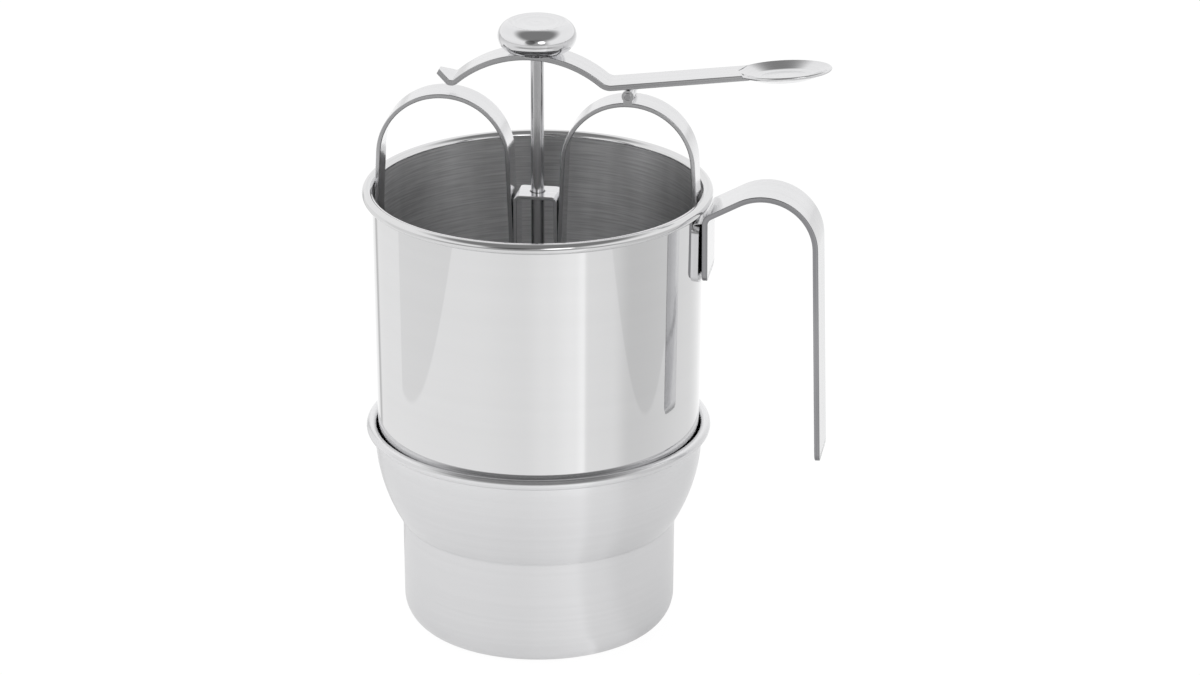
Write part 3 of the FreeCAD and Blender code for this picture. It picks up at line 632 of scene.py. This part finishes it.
TURNED = steel(
    "turned_steel", dark=(0.74, 0.74, 0.75), light=(0.78, 0.78, 0.79), smooth=0.06, rough=0.10,
    along=30.0, across=5000.0, depth=3e-7, lines="round",
)
ROD = steel(
    "drawn_rod", dark=(0.60, 0.60, 0.61), light=(0.68, 0.68, 0.69), smooth=0.20, rough=0.28,
    along=40.0, across=5000.0, depth=6e-7, lines="object",
)
EDGE = steel(
    "cut_edge", dark=(0.42, 0.42, 0.43), light=(0.54, 0.54, 0.55), smooth=0.20, rough=0.28,
    along=90.0, across=5200.0, depth=1e-6, lines="object",
)
SHEARED = steel(
    "sheared_edge", dark=(0.48, 0.48, 0.49), light=(0.60, 0.60, 0.61), smooth=0.20, rough=0.28,
    along=60.0, across=5200.0, depth=1e-6,
)
# Narrow faces of the handle: painted shade, a grey far darker than the bows' sheared edges, for the dark on
# its front edge beside the vessel
HANDLE_EDGE_SHADE = steel(
    "handle_edge_painted_shade", dark=(0.24, 0.24, 0.25), light=(0.34, 0.34, 0.35), smooth=0.20, rough=0.28,
    along=60.0, across=5200.0, depth=1e-6,
)


# Vessel and stand

def wall_radius(height):
    """Radius of the middle of the vessel's wall at a height."""
    return VESSEL_RADIUS - SHEET / 2 - (VESSEL_RIM - height) * math.tan(VESSEL_TAPER)


def with_curl(path, radius):
    """The path with its end rolled over to the right."""
    points, headings = path
    heading = angle_of(headings[-1])
    centre = moved(points[-1], heading - UP, radius)
    return joined(path, arc(centre, radius, heading + UP, -CURL_SWEEP, step=math.radians(8)))


seat_reach = SHOULDER_RADIUS - SHEET - VESSEL_CORNER - SEAT_GAP
shoulder_height = STAND_RIM - STAND_RIM_RUN
corner_height = shoulder_height - seat_reach * math.sin(SEAT_ANGLE)
corner_middle = VESSEL_CORNER - SHEET / 2
corner_setback = corner_middle * math.tan((UP - VESSEL_TAPER - FUNNEL_SLOPE) / 2)
corner = corner_height - corner_setback * math.cos(VESSEL_TAPER)
corner = np.array([wall_radius(corner), corner])
flange_end = moved(corner, FUNNEL_SLOPE + math.pi, corner_setback + FLANGE)
wall = bent([flange_end, corner, (wall_radius(VESSEL_RIM), VESSEL_RIM)], [corner_middle], count=40)
vessel_outline = sheet_outline(with_curl(wall, VESSEL_CURL - SHEET / 2), SHEET)
outline_height = (vessel_outline[0][:, 1] + np.roll(vessel_outline[0][:, 1], -1)) / 2
outline_reach = (vessel_outline[0][:, 0] + np.roll(vessel_outline[0][:, 0], -1)) / 2
curled = (outline_height > VESSEL_RIM - CURL_START) | (outline_reach > VESSEL_RADIUS + CURL_OVERHANG)
inside = outline_reach < wall_radius(outline_height)
# Finish of each stretch: 0 the outside, 1 the inside, 2 the rolled rim
vessel_finish = np.select([curled, inside], [2, 1], 0)
lathe("vessel_wall", vessel_outline, [MIRROR, BRUSHED, RIM], "vessel_shell", "vessel",
      number=vessel_finish)

shoulder_radius = wall_radius(corner_height) + SHEET / 2 - VESSEL_CORNER - seat_reach * math.cos(SEAT_ANGLE)
shoulder = np.array([shoulder_radius, shoulder_height])
shoulder_middle = SHOULDER_RADIUS - SHEET / 2
foot_heading = UP - FOOT_TAPER
floor_corner = np.array([FOOT_RADIUS - SHEET / 2, SHEET / 2])
beside_foot = moved(floor_corner, foot_heading - UP, WAIST_BEND)
waist = at_reach(shoulder, shoulder_middle + WAIST_BEND, beside_foot, foot_heading, -1)
waist_foot = moved(waist, foot_heading + UP, WAIST_BEND)
dip = angle_of(waist - shoulder)
waist_sweep = turn_between(foot_heading + UP, dip + math.pi)
mouth = moved(shoulder, 0.0, shoulder_middle)
stand_path = joined(
    bent([(0, SHEET / 2), floor_corner, waist_foot], [FOOT_CORNER - SHEET / 2], count=12),
    arc(waist, WAIST_BEND, foot_heading + UP, waist_sweep, step=math.radians(4)),
    arc(shoulder, shoulder_middle, dip, -dip, step=math.radians(1)),
    run(mouth, (mouth[0], STAND_RIM)),
)
stand_outline = sheet_outline(with_curl(stand_path, STAND_CURL - SHEET / 2), SHEET, from_axis=True)
lathe("stand_body", stand_outline, [SATIN], "stand_cup", "stand")


# Knob and rod

def bulge(widest, end, count=14):
    """A round run from a widest point, where it is upright, to an end nearer to the axis: the circle
    through the end whose centre is level with the widest point."""
    across = widest[0] - end[0]
    rise = end[1] - widest[1]
    radius = (across ** 2 + rise ** 2) / (2 * across)
    centre = np.array([widest[0] - radius, widest[1]])
    return arc(centre, radius, 0.0, angle_of(np.asarray(end) - centre), step=UP / count)


def solid_outline(path):
    """Outline of a solid turned piece, whose path goes up its outside: the normal is on the right."""
    points, headings = path
    return points[::-1], -turned_left(headings)[::-1]


lower = bulge((KNOB_RADIUS, KNOB_BOTTOM + KNOB_WAIST), (KNOB_FOOT, KNOB_BOTTOM))
lower = (lower[0][::-1], -lower[1][::-1])
upper = bulge((KNOB_RADIUS, KNOB_BOTTOM + KNOB_WAIST), (KNOB_FACE, KNOB_BOTTOM + KNOB_HEIGHT))
lip_heading = angle_of(upper[1][-1])
lip_centre = moved(upper[0][-1], lip_heading + UP, KNOB_LIP)
lip = arc(lip_centre, KNOB_LIP, lip_heading - UP, KNOB_LIP_END - lip_heading, step=math.radians(12))
dish_edge = lip[0][-1]
dish_radius = (dish_edge[0] ** 2 + KNOB_DISH ** 2) / (2 * KNOB_DISH)
dish_centre = np.array([0.0, dish_edge[1] - KNOB_DISH + dish_radius])
dish = arc(dish_centre, dish_radius, angle_of(dish_edge - dish_centre),
           -UP - angle_of(dish_edge - dish_centre), step=math.radians(0.2))
underside = run((0, KNOB_BOTTOM), (KNOB_FOOT, KNOB_BOTTOM), count=3)
knob_path = joined(underside, lower, upper, lip, dish)
lathe("knob_bun", solid_outline(knob_path), [TURNED], "knob", "knob", around=160)


# Straps

def crossing(point, heading, other, other_heading):
    """Where two lines meet, each given by a point and a heading."""
    gap = np.asarray(other, float) - np.asarray(point, float)
    distance = (gap[0] * math.sin(other_heading) - gap[1] * math.cos(other_heading))
    return moved(point, heading, distance / math.sin(other_heading - heading))


BOW_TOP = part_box("right_bow")[1][2]
bow_inner_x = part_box("guide_bridge")[1][0] + BOW_THICKNESS / 2
inner_lean = UP - BOW_INNER_LEAN
outer_lean = -UP + BOW_OUTER_LEAN
crown_line = BOW_TOP - BOW_THICKNESS / 2
inner_kink = np.array([bow_inner_x, VESSEL_RIM - BOW_INNER_KINK_DROP])
outer_height = VESSEL_RIM - BOW_OUTER_KINK_DROP
inset = SHEET / 2 + BOW_WALL_STANDOFF + BOW_THICKNESS / 2
outer_kink = np.array([wall_radius(outer_height) - inset, outer_height])
inner_top = crossing(inner_kink, inner_lean, (0, crown_line), 0.0)
outer_top = crossing(outer_kink, outer_lean, (0, crown_line), 0.0)
crown_turns = math.tan(inner_lean / 2) + math.tan(-outer_lean / 2)
crown_radius = (outer_top[0] - inner_top[0] - BOW_CROWN_FLAT) / crown_turns
bow_path = bent(
    [
        (bow_inner_x, inner_kink[1] - BOW_INNER_FOOT),
        inner_kink,
        inner_top,
        outer_top,
        outer_kink,
        moved(outer_kink, UP - VESSEL_TAPER + math.pi, BOW_OUTER_FOOT),
    ],
    [BOW_KINK_RADIUS, crown_radius, crown_radius, BOW_KINK_RADIUS],
    count=4,
)
strap("right_bow_strap", bow_path, BOW_THICKNESS, STRAP_WIDTH, [STRAP, SHEARED], "right_bow", "vessel")
strap("left_bow_strap", bow_path, BOW_THICKNESS, STRAP_WIDTH, [STRAP, SHEARED], "left_bow", "vessel",
      mirror=True)

handle_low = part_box("handle_strap")[0]
tab_x = handle_low[0] + HANDLE_THICKNESS / 2
knee = np.array([tab_x, VESSEL_RIM - HANDLE_TAB_DROP])
leg_heading = -UP + HANDLE_LEG_LEAN
crown = crossing(knee, HANDLE_RISE, (tab_x + HANDLE_REACH, VESSEL_RIM), leg_heading)
leg_end = crossing(crown, leg_heading, (0, handle_low[2]), 0.0)
handle_path = bent(
    [(tab_x, knee[1] - HANDLE_TAB_LENGTH), knee, crown, leg_end],
    [HANDLE_KNEE_RADIUS, HANDLE_CROWN_RADIUS],
    count=5,
)
# The handle's narrow faces take the painted shade of its edge
strap("handle_bent_strap", handle_path, HANDLE_THICKNESS, HANDLE_WIDTH, [STRAP, HANDLE_EDGE_SHADE],
      "handle_strap", "vessel", corner=HANDLE_CORNER)


# Thumb rest

thumb_floor = THUMB_SHEET / 2 - THUMB_DEPTH
thumb_knee = np.array([THUMB_FLOOR, thumb_floor])
slant = angle_of(np.array([THUMB_LENGTH / 2, -THUMB_SHEET / 2]) - thumb_knee)
thumb_rim = (THUMB_LENGTH / 2 - THUMB_SHEET / 2 * math.sin(slant),
             -THUMB_SHEET / 2 * math.cos(slant))
bowl_path = bent([(0, thumb_floor), thumb_knee, thumb_rim], [THUMB_BEND], count=8)
bowl_outline = sheet_outline(bowl_path, THUMB_SHEET, from_axis=True)
thumb_low, thumb_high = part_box("thumb_rest")
bowl_middle = np.array([(thumb_low[0] + thumb_high[0]) / 2, 0.0,
                        (thumb_low[2] + thumb_high[2]) / 2])
bowl, bowl_normals, bowl_parts = turned(bowl_outline, around=160, squeeze=THUMB_WIDTH / THUMB_LENGTH)
cos_tilt = math.cos(THUMB_TILT)
sin_tilt = math.sin(THUMB_TILT)
tilted = np.array([[cos_tilt, 0, sin_tilt], [0, 1, 0], [-sin_tilt, 0, cos_tilt]])
bowl = bowl @ tilted
bowl += bowl_middle - (bowl.max(axis=0) + bowl.min(axis=0)) / 2
make_piece("thumb_bowl", bowl, bowl_normals @ tilted, bowl_parts, [STRAP], "thumb_rest", "lever")


# Lever

pin_low, pin_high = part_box("pivot_pin")
lever_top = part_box("lever_strap")[1][2]
pivot = np.array([(pin_low[0] + pin_high[0]) / 2, (pin_low[2] + pin_high[2]) / 2])
over_pivot = moved(pivot, ARM_HEADING + UP, ARM_OVER_PIVOT + LEVER_THICKNESS / 2)
hump = np.array([-HUMP_OFFSET, lever_top - LEVER_THICKNESS / 2 - HUMP_RADIUS])
valley = at_reach(hump, HUMP_RADIUS + VALLEY_RADIUS, moved(over_pivot, ARM_HEADING + UP, VALLEY_RADIUS),
                  ARM_HEADING, 1)
tip_low = BOW_TOP + TIP_BEND_HEIGHT + LEVER_THICKNESS / 2 + TIP_BEND_RADIUS
tip_bend = at_reach(hump, HUMP_RADIUS + TIP_BEND_RADIUS, (0, tip_low), 0.0, -1)
hump_begin = angle_of(tip_bend - hump)
hump_end = angle_of(valley - hump)
tip_foot = moved(tip_bend, TIP_HEADING - UP, TIP_BEND_RADIUS)
tip_end = moved(tip_foot, TIP_HEADING + math.pi, TIP_LENGTH)
arm_start = moved(valley, ARM_HEADING - UP, VALLEY_RADIUS)
arm_stop = moved(over_pivot, ARM_HEADING, ARM_LENGTH - THUMB_OVERLAP / math.cos(ARM_HEADING))
arm_last = moved(arm_stop, ARM_HEADING + math.pi, ARM_LAST_RUN)
lever_points, lever_headings = joined(
    run(tip_end, tip_foot, count=4),
    arc(tip_bend, TIP_BEND_RADIUS, TIP_HEADING - UP,
        turn_between(TIP_HEADING - UP, hump_begin + math.pi), step=math.radians(6)),
    arc(hump, HUMP_RADIUS, hump_begin, hump_end - hump_begin, step=math.radians(0.4)),
    arc(valley, VALLEY_RADIUS, hump_end + math.pi,
        turn_between(hump_end + math.pi, ARM_HEADING - UP)),
    run(arm_start, arm_last, count=4),
    run(arm_last, arm_stop),
)


def lever_half(name, side, node):
    """Half of the lever's strap, from its middle or the slot's wall to its edge. It narrows along its
    tip, opens for the rod's slot, and ends in a curve that meets the rim of the thumb rest."""
    half = np.interp(lever_points[:, 0], [tip_end[0], tip_foot[0]], [TIP_END_WIDTH / 2, STRAP_WIDTH / 2])
    beyond = np.maximum(np.maximum(SLOT_START - lever_points[:, 0], lever_points[:, 0] - SLOT_END), 0)
    slot = np.sqrt(np.maximum(SLOT_HALF ** 2 - beyond ** 2, 0))
    section, outward = strap_section(STRAP_WIDTH / 2, LEVER_THICKNESS / 2, STRAP_ROUND)
    top = np.arange(ROUND_POINTS)[::-1]
    rim = np.concatenate([top, top + 3 * ROUND_POINTS])
    through = np.concatenate([[LEVER_THICKNESS / 2], section[rim, 1],
                              [-LEVER_THICKNESS / 2, -LEVER_THICKNESS / 2, LEVER_THICKNESS / 2]])
    normal_across = np.concatenate([[0], outward[rim, 0], [0, -1, -1]])
    normal_through = np.concatenate([[1], outward[rim, 1], [-1, 0, 0]])
    outer = half[:, None] + (section[rim, 0] - STRAP_WIDTH / 2)
    slot = slot[:, None]
    across = np.concatenate([slot, outer, slot, slot, slot], axis=1)
    grid, normals = carried(lever_points, lever_headings, across, through[None],
                            normal_across[None], normal_through[None], 0.0)
    oval = 1 - np.sqrt(1 - (across[-1] / (THUMB_WIDTH / 2)) ** 2)
    tuck = oval * THUMB_LENGTH / 2 + TUCK + TUCK_SLANT * (0.5 - through / LEVER_THICKNESS)
    grid[-1, :, 0] += tuck * lever_headings[-1, 0]
    grid[-1, :, 2] += tuck * lever_headings[-1, 1]
    rows, columns = grid.shape[:2]
    quads, i, j = grid_faces(rows, columns, False)
    wall = j == columns - 2
    kept = (j != columns - 3) & (~wall | (slot[i, 0] + slot[i + 1, 0] > 0))
    girth = np.concatenate([[0], np.cumsum(np.hypot(np.diff(across[rows // 2]), np.diff(through)))])
    uv = grid_uv(i, j, distances(lever_points), girth)
    narrow = wall | (np.abs(normal_across[j] + normal_across[j + 1]) > NARROW)
    pair = np.arange(columns // 2 - 2)
    cap = np.stack([pair, pair + 1, columns - 4 - pair, columns - 3 - pair], axis=-1)
    flip = np.array([1.0, side, 1.0])
    points = grid.reshape(-1, 3) * flip
    shown = normals.reshape(-1, 3) * flip
    cap_uv = np.stack([across[0][cap], through[cap]], axis=-1)
    extra = points[:columns]
    ahead = np.repeat([[-lever_headings[0, 0], 0.0, -lever_headings[0, 1]]], columns, axis=0)
    points = np.concatenate([points, extra])
    shown = np.concatenate([shown, ahead])
    parts = [(quads[kept], uv[kept], narrow[kept].astype(int)), (rows * columns + cap, cap_uv, 1)]
    return make_piece(name, points, shown, parts, [STRAP, SHEARED], node, "lever")


lever_half("lever_strap_near", -1.0, "lever_strap")
lever_half("lever_strap_far", 1.0, None)


# The frame's own solids, each with its finish

for node, finish in {
    "vessel_cone": BRUSHED,
    "outlet_spout": TURNED,
    "handle_pad": SOLID,
    "guide_bridge": SOLID,
    "bow_knuckles": SOLID,
    "pivot_pin": EDGE,
    "lever_knuckle": SOLID,
    "valve_rod": ROD,
    "valve_plug": TURNED,
}.items():
    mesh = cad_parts[node].data
    mesh.materials.clear()
    mesh.materials.append(finish)


# Floor, light and camera

# Brightness of the floor to the camera, a little over white so that the lens sees it as pure white,
# and the share of that glow in what the camera and the metal see of the floor
WHITE = 1.04
CAMERA_GLOW = 0.93
METAL_GLOW = 0.55
FLOOR_GREY = (0.80, 0.80, 0.80, 1)
FLOOR_HALF = 6.0

# Brightness round the studio, from -X through -Y (0.25, the front) and +X (0.5) back to -X
CARDS = [(0.00, 0.95), (0.16, 0.93), (0.25, 0.89), (0.29, 0.95), (0.335, 1.03), (0.350, 1.12),
         (0.358, 0.90), (0.40, 0.88), (0.44, 0.74), (0.60, 0.85), (0.70, 1.05), (0.85, 1.05),
         (0.88, 0.95), (0.895, 0.55), (0.91, 0.92), (1.00, 0.95)]
CARD_FULL = 1.5
CARD_RADIUS = 0.20
CARD_HEIGHT = 0.20
CARD_BOTTOM = 0.001
# Heights between which the cards fade out at their top, and between which the grey band begins
CARD_FADE = (0.135, 0.198)
BAND_START = (0.114, 0.126)
# Shares of the turn between which the grey band begins and ends, and its brightness
BAND_LEFT = (0.06, 0.16)
BAND_RIGHT = (0.46, 0.36)
BAND_LEVEL = 0.42
# The two hanging cloths: share of the turn at the middle, and half their width at the top
CLOTHS = [(0.02, 0.11), (0.475, 0.075)]
CLOTH_DROP = 0.075
CLOTH_EDGE = (0.032, 0.035)
CLOTH_LEVEL = 0.90


def faded(tree, value, start, end):
    """0 at start and 1 at end, with a soft passage between."""
    node = tree.nodes.new("ShaderNodeMapRange")
    node.interpolation_type = "SMOOTHSTEP"
    node.inputs["From Min"].default_value = start
    node.inputs["From Max"].default_value = end
    tree.links.new(value, node.inputs["Value"])
    return node.outputs[0]


def card_light(tree, split):
    """Brightness of the cards by the angle round the part, and that angle as a share of a full turn."""
    turn = math_node(tree, "ARCTAN2", split.outputs["Y"], split.outputs["X"])
    share = math_node(tree, "MULTIPLY_ADD", turn, 1 / (2 * math.pi), 0.5)
    ramp = tree.nodes.new("ShaderNodeValToRGB")
    ramp.color_ramp.interpolation = "EASE"
    elements = ramp.color_ramp.elements
    while len(elements) < len(CARDS):
        elements.new(0.5)
    for element, (position, level) in zip(elements, CARDS):
        element.position = position
        element.color = (level / CARD_FULL, level / CARD_FULL, level / CARD_FULL, 1)
    tree.links.new(share, ramp.inputs["Fac"])
    return math_node(tree, "MULTIPLY", ramp.outputs["Color"], CARD_FULL), share


def pale_floor():
    """White to the camera, with the object's shadow kept faintly, and a plain pale floor to all else."""
    material = bpy.data.materials.new("pale_floor")
    material.use_nodes = True
    tree = material.node_tree
    shader = tree.nodes["Principled BSDF"]
    shader.inputs["Base Color"].default_value = FLOOR_GREY
    shader.inputs["Roughness"].default_value = 0.9
    shader.inputs["Specular IOR Level"].default_value = 0.0
    glow = tree.nodes.new("ShaderNodeEmission")
    path = tree.nodes.new("ShaderNodeLightPath")
    mix = tree.nodes.new("ShaderNodeMixShader")
    shown = math_node(tree, "MULTIPLY", path.outputs["Is Camera Ray"], CAMERA_GLOW)
    glint = math_node(tree, "MULTIPLY_ADD", path.outputs["Is Glossy Ray"], METAL_GLOW, shown)
    tree.links.new(glint, mix.inputs["Fac"])
    tree.links.new(shader.outputs[0], mix.inputs[1])
    tree.links.new(glow.outputs[0], mix.inputs[2])
    tree.links.new(mix.outputs[0], tree.nodes["Material Output"].inputs["Surface"])
    place = tree.nodes.new("ShaderNodeTexCoord")
    split = tree.nodes.new("ShaderNodeSeparateXYZ")
    tree.links.new(place.outputs["Object"], split.inputs[0])
    light = card_light(tree, split)[0]
    more = math_node(tree, "SUBTRACT", WHITE, light)
    tree.links.new(math_node(tree, "MULTIPLY_ADD", more, path.outputs["Is Camera Ray"], light),
                   glow.inputs["Strength"])
    return material


floor_points = np.array([[-1, -1, 0], [1, -1, 0], [1, 1, 0], [-1, 1, 0]]) * FLOOR_HALF
floor_mesh = bpy.data.meshes.new("floor")
floor_mesh.from_pydata(floor_points.tolist(), [], [[0, 1, 2, 3]])
floor_mesh.materials.append(pale_floor())
floor = bpy.data.objects.new("floor", floor_mesh)
bpy.context.scene.collection.objects.link(floor)

def card_glow():
    """White cards in a ring: brightest to the right of the lens, a grey band in front above the
    middle of the vessel, two faint hanging cloths, and a top edge that fades out."""
    material = bpy.data.materials.new("studio_cards")
    material.use_nodes = True
    tree = material.node_tree
    place = tree.nodes.new("ShaderNodeTexCoord")
    split = tree.nodes.new("ShaderNodeSeparateXYZ")
    tree.links.new(place.outputs["Object"], split.inputs[0])
    height = split.outputs["Z"]
    light, share = card_light(tree, split)
    front = math_node(tree, "MULTIPLY", faded(tree, share, *BAND_LEFT), faded(tree, share, *BAND_RIGHT))
    band = math_node(tree, "MULTIPLY", front, faded(tree, height, *BAND_START))
    light = math_node(tree, "MULTIPLY", light, mapped(tree, band, 1.0, BAND_LEVEL))
    for middle, wide in CLOTHS:
        offset = math_node(tree, "SUBTRACT", share, middle)
        bowed = math_node(tree, "MULTIPLY", offset, offset)
        edge = math_node(tree, "MULTIPLY_ADD", bowed, -CLOTH_DROP / wide ** 2, height)
        cloth = faded(tree, edge, *CLOTH_EDGE)
        light = math_node(tree, "MULTIPLY", light, mapped(tree, cloth, 1.0, CLOTH_LEVEL))
    glow = tree.nodes.new("ShaderNodeEmission")
    tree.links.new(light, glow.inputs["Strength"])
    clear = tree.nodes.new("ShaderNodeBsdfTransparent")
    mix = tree.nodes.new("ShaderNodeMixShader")
    tree.links.new(faded(tree, height, *CARD_FADE), mix.inputs["Fac"])
    tree.links.new(glow.outputs[0], mix.inputs[1])
    tree.links.new(clear.outputs[0], mix.inputs[2])
    tree.nodes.remove(tree.nodes["Principled BSDF"])
    tree.links.new(mix.outputs[0], tree.nodes["Material Output"].inputs["Surface"])
    return material


def card_ring(radius, height, count=96):
    """An open ring of cards: (radius cos a, radius sin a, z) for z from just over the floor to a height."""
    angle = np.linspace(0, 2 * math.pi, count, endpoint=False)
    level = np.array([CARD_BOTTOM, height])
    points = np.stack([
        np.repeat(radius * np.cos(angle)[None], 2, axis=0),
        np.repeat(radius * np.sin(angle)[None], 2, axis=0),
        np.repeat(level[:, None], count, axis=1),
    ], axis=-1).reshape(-1, 3)
    quads = grid_faces(2, count, True)[0]
    mesh = bpy.data.meshes.new("studio_cards")
    mesh.from_pydata(points.tolist(), [], quads.tolist())
    mesh.materials.append(card_glow())
    ring = bpy.data.objects.new("studio_cards", mesh)
    ring.visible_camera = False
    ring.visible_diffuse = False
    ring.visible_transmission = False
    ring.visible_shadow = False
    bpy.context.scene.collection.objects.link(ring)


card_ring(CARD_RADIUS, CARD_HEIGHT)

# What the metal sees past the cards: the dim room above, the dim front, the dark round the lens and one
# bright spot. Direction, angles in degrees where it is full and where it ends, and brightness at its core
DARKS = [((0.051, -0.338, 0.940), 32.0, 58.0, 0.24), ((0.147, -0.985, 0.087), 14.0, 42.0, 0.42),
         ((-0.18, -0.925, 0.335), 10.0, 18.0, 0.35), ((0.352, -0.872, 0.342), 6.0, 12.0, 6.0)]

# Brightness of the world for diffuse light
AMBIENT = 0.55

world = bpy.data.worlds.new("studio")
bpy.context.scene.world = world
world.use_nodes = True
sky = world.node_tree
ground = sky.nodes["Background"]
path = sky.nodes.new("ShaderNodeLightPath")
direct = math_node(sky, "MAXIMUM", path.outputs["Is Camera Ray"], path.outputs["Is Glossy Ray"])
direct = math_node(sky, "MAXIMUM", direct, path.outputs["Is Transmission Ray"])
ground.inputs["Color"].default_value = (1, 1, 1, 1)
bright = mapped(sky, direct, AMBIENT, 1.0)
view = sky.nodes.new("ShaderNodeTexCoord").outputs["Generated"]
for aim, core, edge, level in DARKS:
    toward = sky.nodes.new("ShaderNodeVectorMath")
    toward.operation = "DOT_PRODUCT"
    toward.inputs[1].default_value = aim
    sky.links.new(view, toward.inputs[0])
    patch = faded(sky, toward.outputs["Value"], math.cos(math.radians(edge)),
                  math.cos(math.radians(core)))
    patch = math_node(sky, "MULTIPLY", patch, path.outputs["Is Glossy Ray"])
    bright = math_node(sky, "MULTIPLY", bright, mapped(sky, patch, 1.0, level))
sky.links.new(bright, ground.inputs["Strength"])


def lamp(name, place, target, size, power):
    """A soft rectangular lamp that looks at a target."""
    data = bpy.data.lights.new(name, "AREA")
    data.shape = "RECTANGLE"
    data.size, data.size_y = size
    data.energy = power
    light = bpy.data.objects.new(name, data)
    light.location = place
    light.visible_glossy = False
    light.rotation_euler = (Vector(target) - Vector(place)).to_track_quat("-Z", "Y").to_euler()
    bpy.context.scene.collection.objects.link(light)


middle = (0.02, 0.0, 0.12)
lamp("key", (-0.9, -0.9, 1.3), middle, size=(0.9, 0.9), power=9.0)
lamp("fill", (1.2, -0.5, 0.8), middle, size=(0.8, 1.0), power=4.0)
lamp("top", (0.1, 0.3, 1.5), middle, size=(1.2, 1.2), power=6.0)

# The lens is long and looks down from a little to the right of the front
turn = math.radians(8.5)
look_down = math.radians(21.04)
distance = 2186.9 * MM
aim_right = 22.51 * MM
aim_height = 110.12 * MM
target = Vector((aim_right * math.cos(turn), aim_right * math.sin(turn), aim_height))
away = Vector((math.cos(look_down) * math.sin(turn), -math.cos(look_down) * math.cos(turn),
               math.sin(look_down)))
camera_data = bpy.data.cameras.new("camera")
camera_data.sensor_width = 36.0
camera_data.lens = 180.0
camera_data.clip_start = 0.01
camera_data.clip_end = 50.0
camera = bpy.data.objects.new("camera", camera_data)
camera.location = target + away * distance
camera.rotation_euler = (-away).to_track_quat("-Z", "Y").to_euler()
bpy.context.scene.collection.objects.link(camera)
bpy.context.scene.camera = camera
bpy.context.scene.view_settings.view_transform = "Standard"
